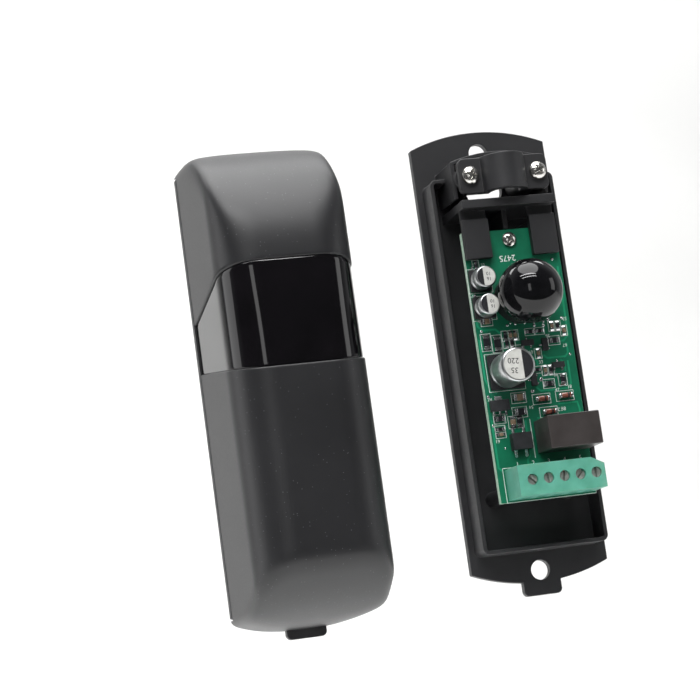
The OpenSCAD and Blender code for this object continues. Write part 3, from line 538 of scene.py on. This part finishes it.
def blend_in(a, b, soft):
    """The greater of two depths, with the ridge between them rounded."""
    near = np.maximum(soft - np.abs(a - b), 0) / soft
    return np.maximum(a, b) + near ** 3 * soft / 6


def cover_depth(p):
    """How far points lie outside the cover's skin, in mm; less than zero inside."""
    x, y, z = np.abs(p[:, 0]), p[:, 1], p[:, 2]
    # Across: a flat front, rounded shoulders, and sides that lean in
    side = (x - HALF_WIDE) * math.cos(LEAN) + z * math.sin(LEAN)
    u, v = x - FRONT_HALF, z - (DEEP - SHOULDER)
    corner = np.hypot(u, v) - SHOULDER
    on_corner = (u > 0) & (v > u * math.tan(LEAN))
    section = np.where(on_corner, corner, np.maximum(z - DEEP, side))
    # Along: an arc at each end, from the rim to the brow
    over = np.hypot(np.maximum(y - TOP_ARC[0], 0), z - TOP_ARC[1]) - TOP_ARC[2]
    under = np.hypot(-y - BOTTOM_ARC[0], z - BOTTOM_ARC[1]) - BOTTOM_ARC[2]
    end = np.where(y > 0, over, under)
    # From the front: ends that bow out as the back plate's do
    bow = BOW + GAP + WALL
    round_over = np.hypot(x, y - MIDDLE_UP) - bow
    round_under = np.hypot(x, -y - MIDDLE_DOWN) - bow
    plan = np.where(y > 0, round_over, round_under)
    top = SOFT_TOP * np.clip((y - SOFT_FROM) / SOFT_OVER, SOFT_LEAST, 1)
    soft = np.where(y > 0, top, SOFT_BOTTOM)
    return blend_in(blend_in(section, end, soft), plan, SOFT_OUTLINE)


def skin_at(place, count, inset):
    """How far along each of count ways the skin lies, moved inwards; place gives points by distance."""
    near, far = np.zeros(count), np.full(count, REACH)
    for _ in range(HALVINGS):
        middle = (near + far) / 2
        inside = cover_depth(place(middle)) < -inset
        near, far = np.where(inside, middle, near), np.where(inside, far, middle)
    return far


def cover_row(height, inset):
    """One row of points round the cover; height gives its place up the unit at each depth."""
    angles = np.linspace(0, math.pi, HALF_TURN)
    across, out = np.cos(angles), np.sin(angles)

    def place(far):
        return np.column_stack((far * across, height(far * out), far * out))

    far = skin_at(place, HALF_TURN, inset)
    rise = far * out
    rise[0] = rise[-1] = 0
    return [tuple(p) for p in np.column_stack((far * across, height(rise), rise))]


def cover_end(way, inset):
    """The rows of a domed end, fanned about the front; way is 1 for the top and -1 for the bottom."""
    start = np.array((0, way * STRAIGHT, 0), float)
    lifts = np.linspace(0, math.pi / 2, ROUND + 1)
    rows = []
    for fan in np.linspace(0, math.pi, HALF_TURN):
        rays = np.array([
            (math.cos(fan) * math.cos(e), way * math.sin(fan) * math.cos(e), math.sin(e)) for e in lifts
        ])

        def place(far):
            return start + rays * far[:, None]

        row = place(skin_at(place, len(lifts), inset))
        row[0, 2] = 0
        rows.append([tuple(p) for p in row])
    return rows


def edge_over(z):
    """The raked edge where the hood meets the window."""
    return HOOD_EDGE + HOOD_RAKE * z / DEEP


def edge_under(z):
    """The raked edge where the window meets the lower cover."""
    return LOWER_EDGE + LOWER_RAKE * z / DEEP


def half_cover(way, edge):
    """The shell from a raked edge to its domed end, with both walls and a rounded rim."""
    # Radii of the rim's outer and inner edges, and how far behind the rim the next row lies
    outside, inside, behind = 0.33, 0.15, 0.7
    arc = [math.radians(a) for a in (0, 22.5, 45, 67.5, 90)]
    outer = [(outside * (1 - math.sin(a)), outside * (1 - math.cos(a))) for a in arc]
    inner = [(inside * (1 - math.cos(a)), WALL - inside * (1 - math.sin(a))) for a in arc]
    rows = []
    for share in (1.0, 0.8, 0.6, 0.4, 0.2, 0.07):
        rows.append(
            cover_row(lambda z: edge(z) * (1 - share) + way * STRAIGHT * share, 0)
        )
    rows.append(cover_row(lambda z: edge(z) + way * behind, 0))
    for off, inset in outer + inner:
        rows.append(cover_row(lambda z: edge(z) + way * off, inset))
    rows.append(cover_row(lambda z: edge(z) + way * behind, WALL))
    rows.append(cover_row(lambda z: np.full_like(z, way * STRAIGHT), WALL))
    shape = bmesh.new()
    grid(shape, rows)
    grid(shape, cover_end(way, 0))
    grid(shape, cover_end(way, WALL))
    return closed(shape)


def window_form():
    """The window band, set a little below the covers, with its lips behind them."""
    # How deep under the skin lie the band's face, its lips' faces and their backs
    face, lip, back = 0.35, 1.05, 1.6
    # The gap to each cover, the length of a lip, and the run and depth of the softened edges
    gap, tongue, run, dip = 0.07, 2.5, 0.2, 0.06
    # Each step is a share of the way between the edges, how far up from there, and how deep
    path = []
    for share in (0.0, 0.25, 0.5, 0.75, 1.0):
        path.append((share, 1.0 - 2.0 * share, face))
    path += [(1, -gap - run, face), (1, -gap - dip, face + dip), (1, -gap, face + run)]
    path += [(1, -gap, lip), (1, tongue, lip), (1, tongue, back), (0, -tongue, back), (0, -tongue, lip)]
    path += [(0, gap, lip), (0, gap, face + run), (0, gap + dip, face + dip), (0, gap + run, face)]
    path.append(path[0])
    rows = []
    for share, off, inset in path:
        rows.append(
            cover_row(lambda z: edge_under(z) * (1 - share) + edge_over(z) * share + off, inset)
        )
    shape = bmesh.new()
    grid(shape, rows)
    return closed(shape)


def plate_cutter():
    """The back plate's outline with the gap round it, as high as the plate."""
    steps, below = 40, 3.0
    half = math.asin((HALF_WIDE + GAP) / (BOW + GAP))
    points = []
    for way, middle in ((1, MIDDLE_UP), (-1, MIDDLE_DOWN)):
        for a in np.linspace(half, -half, steps):
            points.append(
                (way * (BOW + GAP) * math.sin(a), way * (middle + (BOW + GAP) * math.cos(a)))
            )
    shape = bmesh.new()
    thick_plate(shape, points, -below, PLATE)
    bmesh.ops.recalc_face_normals(shape, faces=shape.faces)
    return shape


def notch_cutter():
    """The notch that lets the plate's tab out under the cover."""
    size, middle = (9.8, 9, 5.4), (0, -55.6, -0.3)
    shape = bmesh.new()
    bmesh.ops.create_cube(shape, size=1)
    bmesh.ops.scale(shape, vec=size, verts=shape.verts)
    bmesh.ops.translate(shape, vec=middle, verts=shape.verts)
    return shape


def cut_away(mesh, cutters):
    """A mesh with each cutter taken out of it."""
    thing = link("whole", mesh)
    tools = []
    for cutter in cutters:
        tool = link("cutter", mesh_of("cutter", cutter))
        tools.append(tool)
        cut = thing.modifiers.new("cut", "BOOLEAN")
        cut.object = tool
        cut.operation = "DIFFERENCE"
        cut.solver = "EXACT"
    made = settled(thing)
    for tool in tools:
        bpy.data.objects.remove(tool)
    return made


def make_cover():
    """The transmitter's hood, window and lower cover, which lift off as one."""
    body, unit = "transmitter_cover", "transmitter"
    hood = cut_away(mesh_of("hood", half_cover(1, edge_over)), [plate_cutter()])
    mounted("cover_hood", hood, [COVER], body, ["transmitter_cover_hood"], unit)
    band = cut_away(mesh_of("band", window_form()), [plate_cutter()])
    mounted("cover_window", band, [WINDOW], body, ["transmitter_window"], unit)
    lower = cut_away(mesh_of("lower", half_cover(-1, edge_under)), [plate_cutter(), notch_cutter()])
    mounted("cover_lower", lower, [COVER], body, ["transmitter_cover_lower"], unit)


def islands(name, unit):
    """The boxes of a CAD node's loose parts in its unit's millimetres, as (low, high) pairs."""
    back = HANG[unit].inverted()
    shape = bmesh.new()
    shape.from_mesh(nodes[name].data)
    bmesh.ops.remove_doubles(shape, verts=shape.verts, dist=CAD_MERGE)
    left = set(shape.verts)
    found = []
    while left:
        group, todo = [], [left.pop()]
        while todo:
            v = todo.pop()
            group.append(back @ v.co)
            for e in v.link_edges:
                other = e.other_vert(v)
                if other in left:
                    left.discard(other)
                    todo.append(other)
        low = Vector([min(p[i] for p in group) for i in range(3)])
        high = Vector([max(p[i] for p in group) for i in range(3)])
        found.append((low, high))
    shape.free()
    return sorted(found, key=lambda b: (round(b[0].x, 2), round(b[0].y, 2)))


def frame_round(low, high, gap):
    """A closed outline round a part, gap mm clear of it."""
    a, b, c, d = low.x - gap, high.x + gap, low.y - gap, high.y + gap
    return [(a, c), (b, c), (b, d), (a, d), (a, c)]


def make_chips(unit):
    """Chip resistors and capacitors: a body between two tinned ends, each end with its solder."""
    name = unit + "_chip_parts"
    dark, tan, ends, solder, frames = [], [], [], [], []
    for i, (low, high) in enumerate(islands(name, unit)):
        middle, size = (low + high) / 2, high - low
        turn = 0 if size.x > size.y else 90
        long, short = max(size.x, size.y), min(size.x, size.y)
        body = (middle.x, middle.y, BOARD_FACE, turn, long * CHIP_BODY, short * 0.94, size.z * 0.96)
        (tan if i % 3 == 1 else dark).append(body)
        for way in (-1, 1):
            off = way * long * CHIP_END_OUT
            x = middle.x + (off if turn == 0 else 0)
            y = middle.y + (off if turn else 0)
            ends.append((x, y, BOARD_FACE, turn, long * CHIP_END, short, size.z))
            far = way * (long / 2 + SOLDER_OUT)
            x = middle.x + (far if turn == 0 else 0)
            y = middle.y + (far if turn else 0)
            facing = (0 if way > 0 else 180) + turn
            solder.append((x, y, BOARD_FACE, facing, SOLDER_LONG, short * 1.05, size.z * 0.8))
        frames.append(frame_round(low, high, CLEAR_OF_CHIP))
    small_parts(name + "_dark", slab_form((1, 1, 1), 0.06), dark, CHIP_BLACK, unit, [name])
    small_parts(name + "_tan", slab_form((1, 1, 1), 0.06), tan, CHIP_TAN, unit, [name])
    small_parts(name + "_ends", slab_form((1, 1, 1), 0.08), ends, TIN, unit, [name])
    wedge = bmesh.new()
    profile = [(-0.5, 0), (0.5, 0), (0.5, 0.08), (0.2, 0.25), (-0.1, 0.6), (-0.5, 1.0)]
    rows = [[(x, s * 0.5, z) for x, z in profile + profile[:1]] for s in (-1, 1)]
    grid(wedge, rows)
    small_parts(name + "_solder", closed(wedge, 0.0001), solder, TIN, unit, sharp=60)
    return frames


def make_glass_diodes(unit):
    """Glass diodes: a red-sealed barrel with a black band, between two tinned caps."""
    name = unit + "_glass_diodes"
    band_off, cap_half = 0.55, 0.3
    barrels, caps, bands, frames = [], [], [], []
    for low, high in islands(name, unit):
        middle = (low + high) / 2
        half = (high.x - low.x) / 2
        barrels.append((middle.x, middle.y, middle.z, 0, 1, 1, 1))
        bands.append((middle.x + band_off, middle.y, middle.z, 0, 1, 1, 1))
        for way in (-1, 1):
            caps.append((middle.x + way * (half - cap_half), middle.y, middle.z, 90 - way * 90, 1, 1, 1))
        frames.append(frame_round(low, high, CLEAR_OF_CHIP))
    lay = Matrix.Rotation(math.radians(90), 3, "Y")

    def barrel(profile):
        shape = turned_form(profile, 24)
        bmesh.ops.rotate(shape, verts=shape.verts, cent=(0, 0, 0), matrix=lay)
        return shape

    shoulder = [(0.66, 1.0), (0.62, 1.2), (0.5, 1.3), (0, 1.3)]
    body = [(r, -z) for r, z in shoulder[::-1]] + shoulder
    cap = [(0, -0.3), (0.64, -0.3), (0.69, -0.25), (0.69, 0.2), (0.6, 0.28), (0, 0.3)]
    ring = [(0, -0.22), (0.675, -0.22), (0.675, 0.22), (0, 0.22)]
    small_parts(name + "_barrels", barrel(body), barrels, GLASS, unit, [name], 50)
    small_parts(name + "_caps", barrel(cap), caps, TIN, unit, [name], 50)
    small_parts(name + "_bands", barrel(ring), bands, BAND, unit, [name], 50)
    return frames


def low_metal(unit, height):
    """A rule that finds the faces of leads, which lie within height mm of the board."""
    back = HANG[unit].inverted()

    def rule(face):
        highest = max((back @ v.co).z for v in face.verts)
        return 1 if highest < BOARD_FACE + height else 0

    return rule


def make_cans(unit):
    """Electrolytic capacitors: drawn cans on square feet, their tops part black with plain numbers."""
    tops, frames, words = [], [], []
    # Shares of a can's radius: its flat top, and the height of its numbers; and how the numbers turn
    flat, tall, numbers_turn = 0.86, 0.34, 174
    jobs = [(unit + "_main_capacitor", 4.0, 1, [("220", 0.95, 1.15), ("35", -1.25, 1.15)])]
    if unit == "receiver":
        jobs.append((unit + "_small_capacitors", 2.5, -1, [("10", 0.6, 0.62), ("16", -0.6, 0.62)]))
    for name, radius, side, marks in jobs:
        cans, feet = [], []
        boxes = islands(name, unit)
        for low, high in boxes:
            middle = (low + high) / 2
            cans.append((middle.x, middle.y, BOARD_FACE, 0, 1, 1, 1))
            feet.append((middle.x, middle.y, BOARD_FACE, 0, high.x - low.x, high.y - low.y, 1))
            tops.append((middle.x, middle.y, radius, high.z, side))
            frames.append(frame_round(low, high, CLEAR_OF_CAN))
            for text, up, across in marks:
                x, y = middle.x - side * across, middle.y + up
                words.append((text, x, y, high.z + PRINT_LIFT, radius * tall, numbers_turn))
        height = boxes[0][1].z - BOARD_FACE
        r = radius
        can = [
            (0, 0.9), (r * 0.93, 0.9), (r * 0.985, 1.1), (r, 1.4), (r, 1.9), (r * 0.955, 2.15),
            (r * 0.955, 2.45), (r, 2.7), (r, height - 0.55), (r * 0.985, height - 0.3),
            (r * 0.955, height - 0.12), (r * 0.91, height - 0.03), (r * 0.88, height), (0, height),
        ]
        small_parts(name + "_can", turned_form(can, 72), cans, CAN, unit, [name], 50)
        foot = slab_form((1, 1, 0.95), 0.05)
        small_parts(name + "_foot", foot, feet, FOOT, unit, [name])
    disc, dark = bmesh.new(), bmesh.new()
    for x, y, r, z, side in tops:
        inner = r * flat
        round_about = np.linspace(0, 2 * math.pi, 64)[:-1]
        ring = [(x + inner * math.cos(a), y + inner * math.sin(a)) for a in round_about]
        thick_plate(disc, ring, z - 0.02, z + 0.008)
        # The print fills the top beyond three tenths of the way out on one side
        half = math.acos(0.30)
        arc = np.linspace(-half, half, 32)
        part = [(x + side * inner * math.cos(a) * 0.995, y + inner * math.sin(a) * 0.995) for a in arc]
        thick_plate(dark, part if side > 0 else part[::-1], z - 0.01, z + 0.016)
    mounted(unit + "_can_tops", mesh_of("tops", disc), [CAN_TOP], "fixed", (), unit, 30)
    mounted(unit + "_can_prints", mesh_of("prints", dark), [PRINT], "fixed", (), unit, 30)
    digits(unit + "_can_numbers", words, PRINT, unit, 0.02)
    return frames


def make_optics(unit):
    """The ball lens on its tube, over the photodiode or the emitter."""
    low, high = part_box(unit + "_lens")
    back = HANG[unit].inverted()
    top = max((back @ low).z, (back @ high).z)
    base = min((back @ low).z, (back @ high).z)
    middle = back @ ((low + high) / 2)
    sphere = []
    for a in np.linspace(-math.pi / 2 + BALL_FLAT, math.pi / 2, 60):
        sphere.append((max(BALL * math.cos(a), 0), top - BALL + BALL * math.sin(a)))
    profile = [(0, base), (sphere[0][0] * 0.98, base)] + sphere
    ball = turned_form(profile, 96)
    bmesh.ops.translate(ball, vec=(middle.x, middle.y, 0), verts=ball.verts)
    mesh = mesh_of("ball", ball)
    mounted(unit + "_ball", mesh, [LENS], "fixed", [unit + "_lens"], unit, 60)
    softened(unit + "_lens_tube", 0.15, [BASE])
    eye = "_photodiode" if unit == "receiver" else "_emitter"
    softened(unit + eye, 0.1, [RESIN])


def make_board(unit):
    """The board with its mask, cut edges, tracks, pads, print and every part that sits on it."""
    name = unit + "_board"

    def cut_edge(face):
        return 0 if abs(face.normal.y) > 0.5 else 1

    softened(name, 0.06, [MASK, FIBRE], cut_edge, segments=1)
    outlines = make_chips(unit) + make_glass_diodes(unit) + make_cans(unit)
    softened(unit + "_regulator", 0.12, [EPOXY, TIN], low_metal(unit, 0.5))
    softened(unit + "_transistors", 0.1, [EPOXY, TIN], low_metal(unit, 0.3))
    if unit == "receiver":
        softened("receiver_bridge_rectifier", 0.15, [EPOXY, TIN], low_metal(unit, 0.6))
    make_optics(unit)
    top = BOARD_FACE + PRINT_LIFT
    low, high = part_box(unit + "_terminal_housing")
    back = HANG[unit].inverted()
    a, b = back @ low, back @ high
    block = frame_round(Vector((a.x, min(a.y, b.y), 0)), Vector((b.x, max(a.y, b.y), 0)), CLEAR_OF_BLOCK)
    divider = [(-1.5, -25.2), (-1.5, -16.2)]
    outlines += [block, divider]
    drawn_lines(name + "_print", outlines, 0.16, 0.03, top, INK, unit)
    tracks = [
        [(-10.6, 18), (-10.6, 6.2), (-9.6, 5.2), (-6.5, 5.2), (-5.4, 4.1)],
        [(-10.7, 3.2), (-10.7, -6), (-10.0, -8.2), (-8.4, -9.6)],
        [(10.9, 18.6), (10.9, 2.4), (9.6, 1.1), (9.0, 1.1)],
        [(10.2, 0.6), (10.2, -1.8), (9.4, -2.6), (5.0, -2.6), (4.2, -1.8)],
        [(9.8, -3.6), (9.8, -9.0), (8.8, -10.0), (2.2, -10.0), (1.2, -9.0)],
        [(0.2, -2.4), (1.8, -2.4), (2.4, -3.0), (2.4, -4.2)],
        [(-10.6, -15.6), (-10.6, -26.6), (-9.8, -27.4)],
        [(-2.6, -16.4), (-2.6, -24.6), (-3.4, -25.4), (-3.4, -26.6)],
        [(0.4, -16.2), (4.0, -16.2), (4.6, -15.6)],
        [(6.0, -13.4), (10.6, -13.4), (10.9, -15.0), (10.9, -16.4)],
        [(-2.0, -1.0), (-0.6, -1.0), (0.2, -0.2)],
        [(8.9, -6.0), (8.9, -4.0), (8.0, -3.2)],
    ]
    drawn_lines(name + "_tracks", tracks, 0.45, 0.05, BOARD_FACE, TRACK, unit)
    # Solder points as (x, up, width), then a close row of them below the lens
    pads = [
        (-10.3, 15.2, 1.1), (-10.2, 13.4, 0.9), (-10.3, 10.6, 1.2), (-10.4, 8.8, 0.8), (-9.9, 5.0, 0.7),
        (-3.5, 5.9, 0.7), (3.0, 5.3, 0.7), (5.2, 5.1, 0.8), (9.9, 6.4, 0.7), (0.2, -9.9, 0.9),
        (2.7, -7.4, 1.0), (-0.2, -0.6, 0.6), (5.0, -0.1, 0.6), (-10.6, -10.2, 0.7), (-10.4, -16.9, 0.7),
        (-8.3, -22.3, 0.6), (0.0, -10.0, 0.6), (10.6, -2.2, 0.6), (-9.9, 20.0, 0.7), (9.8, 20.4, 0.7),
    ]
    pads += [(-2.7 + 1.15 * i, 6.3 - 0.25 * (i % 2), 0.5 + 0.12 * (i % 3)) for i in range(9)]
    dome = [(0, -0.1), (0.5, -0.1), (0.48, 0.06), (0.36, 0.15), (0.2, 0.2), (0, 0.22)]
    places = [(x, y, BOARD_FACE, 0, s, s, 0.8) for x, y, s in pads]
    small_parts(name + "_solder_points", turned_form(dome, 20), places, TIN, unit, (), 60)
    print_numbers(unit, top)


def print_numbers(unit, top):
    """Plain numbers where a board has its print: one by each terminal and one by some parts."""
    words = []
    first, count = (-6.0, 5) if unit == "receiver" else (-2.2, 2)
    for i in range(count):
        words.append((str(i + 1), first + i * TERMINAL_PITCH, -26.3, top, 1.1, 0))
    # Each is (x, up, height); every other number reads from above
    spots = [
        (-1.0, 21.6, 1.5), (2.2, 19.9, 0.8), (-9.3, 20.6, 0.8), (-7.2, 20.4, 0.8), (9.6, 17.0, 0.8),
        (-9.9, 7.4, 0.8), (10.6, 6.2, 0.8), (1.2, -0.9, 0.8), (9.7, 0.0, 0.8), (-10.3, -10.9, 0.8),
        (9.3, -9.7, 0.8), (7.0, -14.7, 0.9), (6.2, -14.7, 0.9), (-9.9, -20.6, 0.8), (5.9, 2.6, 0.8),
        (3.3, -3.4, 0.8), (6.4, -6.6, 0.8), (6.2, -10.2, 0.8), (-0.7, -13.5, 0.8),
    ]
    for i, (x, y, size) in enumerate(spots):
        text = str(11 + 7 * i % 83) if i else "2475"
        words.append((text, x, y, top, size, 0 if i % 2 else 180))
    digits(unit + "_board_numbers", words, INK, unit, 0.03)


def make_unit(unit):
    """Base, saddle, screws and board of one unit."""
    softened(unit + "_base", 0.22, [BASE])
    softened(unit + "_saddle", 0.3, [BASE], segments=3)
    softened(unit + "_saddle_screw_left", 0.12, [STEEL], turn=20)
    softened(unit + "_saddle_screw_right", 0.12, [STEEL], turn=-25)
    softened(unit + "_board_screw", 0.1, [STEEL], turn=35)
    make_board(unit)
    softened(unit + "_terminal_housing", 0.15, [BLOCK])
    dress(unit + "_terminal_contacts", TIN)
    turns = (-45, -5, 8, 40, 0) if unit == "receiver" else (15, -30)
    for i, turn in enumerate(turns):
        softened(f"{unit}_terminal_screw_{i + 1}", 0.06, [WELL_STEEL], turn=turn)
        softened(f"{unit}_terminal_cage_{i + 1}", 0.08, [BRASS])


def make_relay():
    """The relay's bare case over its base, coil and armature."""
    softened("receiver_relay_case", 0.3, [RELAY], segments=3)
    softened("receiver_relay_base", 0.1, [EPOXY])
    softened("receiver_relay_coil", 0.08, [WINDING])
    softened("receiver_relay_armature", 0.06, [STEEL])


def make_stage():
    """A plain pale floor that turns up into a plain pale backdrop."""
    pale = finish("pale_paper", "#e9e9e8", "#f2f2f1", 300, (0.8, 0.95), 3, 0.02)
    shape = bmesh.new()
    path = [(-0.2, -0.16), (1.0, -0.16), (1.25, -0.14), (1.45, -0.05), (1.57, 0.1), (1.6, 0.3), (1.6, 2.6)]
    grid(shape, [[(x, y, z) for y, z in path] for x in (-2.6, 2.6)])
    bmesh.ops.recalc_face_normals(shape, faces=shape.faces)
    mesh = mesh_of("stage", shape)
    mesh.materials.append(pale)
    mesh.shade_smooth()
    link("stage", mesh)


def softbox(name, place, aim, size, power):
    """A soft white lamp at a place, turned to a point."""
    lamp = bpy.data.lights.new(name, "AREA")
    lamp.shape = "RECTANGLE"
    lamp.size, lamp.size_y = size
    lamp.energy = power
    made = bpy.data.objects.new(name, lamp)
    bpy.context.scene.collection.objects.link(made)
    made.location = place
    made.rotation_euler = (Vector(aim) - Vector(place)).to_track_quat("-Z", "Y").to_euler()
    return made


def make_light():
    """Studio light: bright behind and above, gentle in front, as the photograph's."""
    world = bpy.data.worlds.new("studio")
    bpy.context.scene.world = world
    world.use_nodes = True
    tree = world.node_tree
    tree.nodes.clear()
    way = node(tree, "ShaderNodeTexCoord").outputs["Generated"]
    parts = node(tree, "ShaderNodeSeparateXYZ", {0: way})
    back = node(tree, "ShaderNodeMapRange", {0: parts.outputs[1], 1: -0.3, 2: 0.6, 3: 0.08, 4: 0.72})
    air = node(tree, "ShaderNodeBackground", {"Color": linear("#f4f6f8"), "Strength": back.outputs[0]})
    paper = node(tree, "ShaderNodeBackground", {"Color": linear("#fbfbfb"), "Strength": 1.0})
    seen = node(tree, "ShaderNodeLightPath").outputs["Is Camera Ray"]
    both = node(tree, "ShaderNodeMixShader", {0: seen, 1: air.outputs[0], 2: paper.outputs[0]})
    node(tree, "ShaderNodeOutputWorld", {"Surface": both.outputs[0]})
    aim = (-0.03, 0.0, 0.0)
    top = softbox("overhead", (-0.03, -0.22, 0.95), aim, (0.9, 1.05), 11.5)
    top.data.shape = "ELLIPSE"
    softbox("strip_near", (-0.22, -0.78, 0.72), aim, (0.9, 0.035), 3)
    softbox("strip_far", (-0.22, -0.6, 0.82), aim, (0.9, 0.035), 3)
    softbox("low_left", (-0.28, -0.77, 0.06), aim, (0.13, 0.34), 0.3)
    softbox("low_right", (0.68, -0.30, 0.12), aim, (0.22, 0.4), 0.5)
    softbox("side_left", (-1.25, 0.25, 0.3), aim, (0.7, 0.9), 3.2)
    softbox("backdrop_wash", (0.0, 0.7, 1.5), (0.0, 1.6, 0.1), (2.2, 0.5), 26)
    fill = softbox("front_fill", (-0.45, -0.85, 0.65), aim, (0.6, 0.6), 6)
    fill.visible_glossy = False


def make_camera():
    """The photograph's view, from its left and a little below."""
    lens = bpy.data.cameras.new("camera")
    lens.lens = 112.57
    lens.sensor_width = 36
    made = bpy.data.objects.new("camera", lens)
    bpy.context.scene.collection.objects.link(made)
    made.location = (-0.167525, -0.485494, -0.071041)
    made.rotation_euler = [math.radians(a) for a in (98.802, 7.842, -13.782)]
    bpy.context.scene.camera = made
    bpy.context.scene.view_settings.view_transform = "Standard"


make_camera()
make_cover()
make_unit("receiver")
make_unit("transmitter")
make_relay()
make_stage()
make_light()
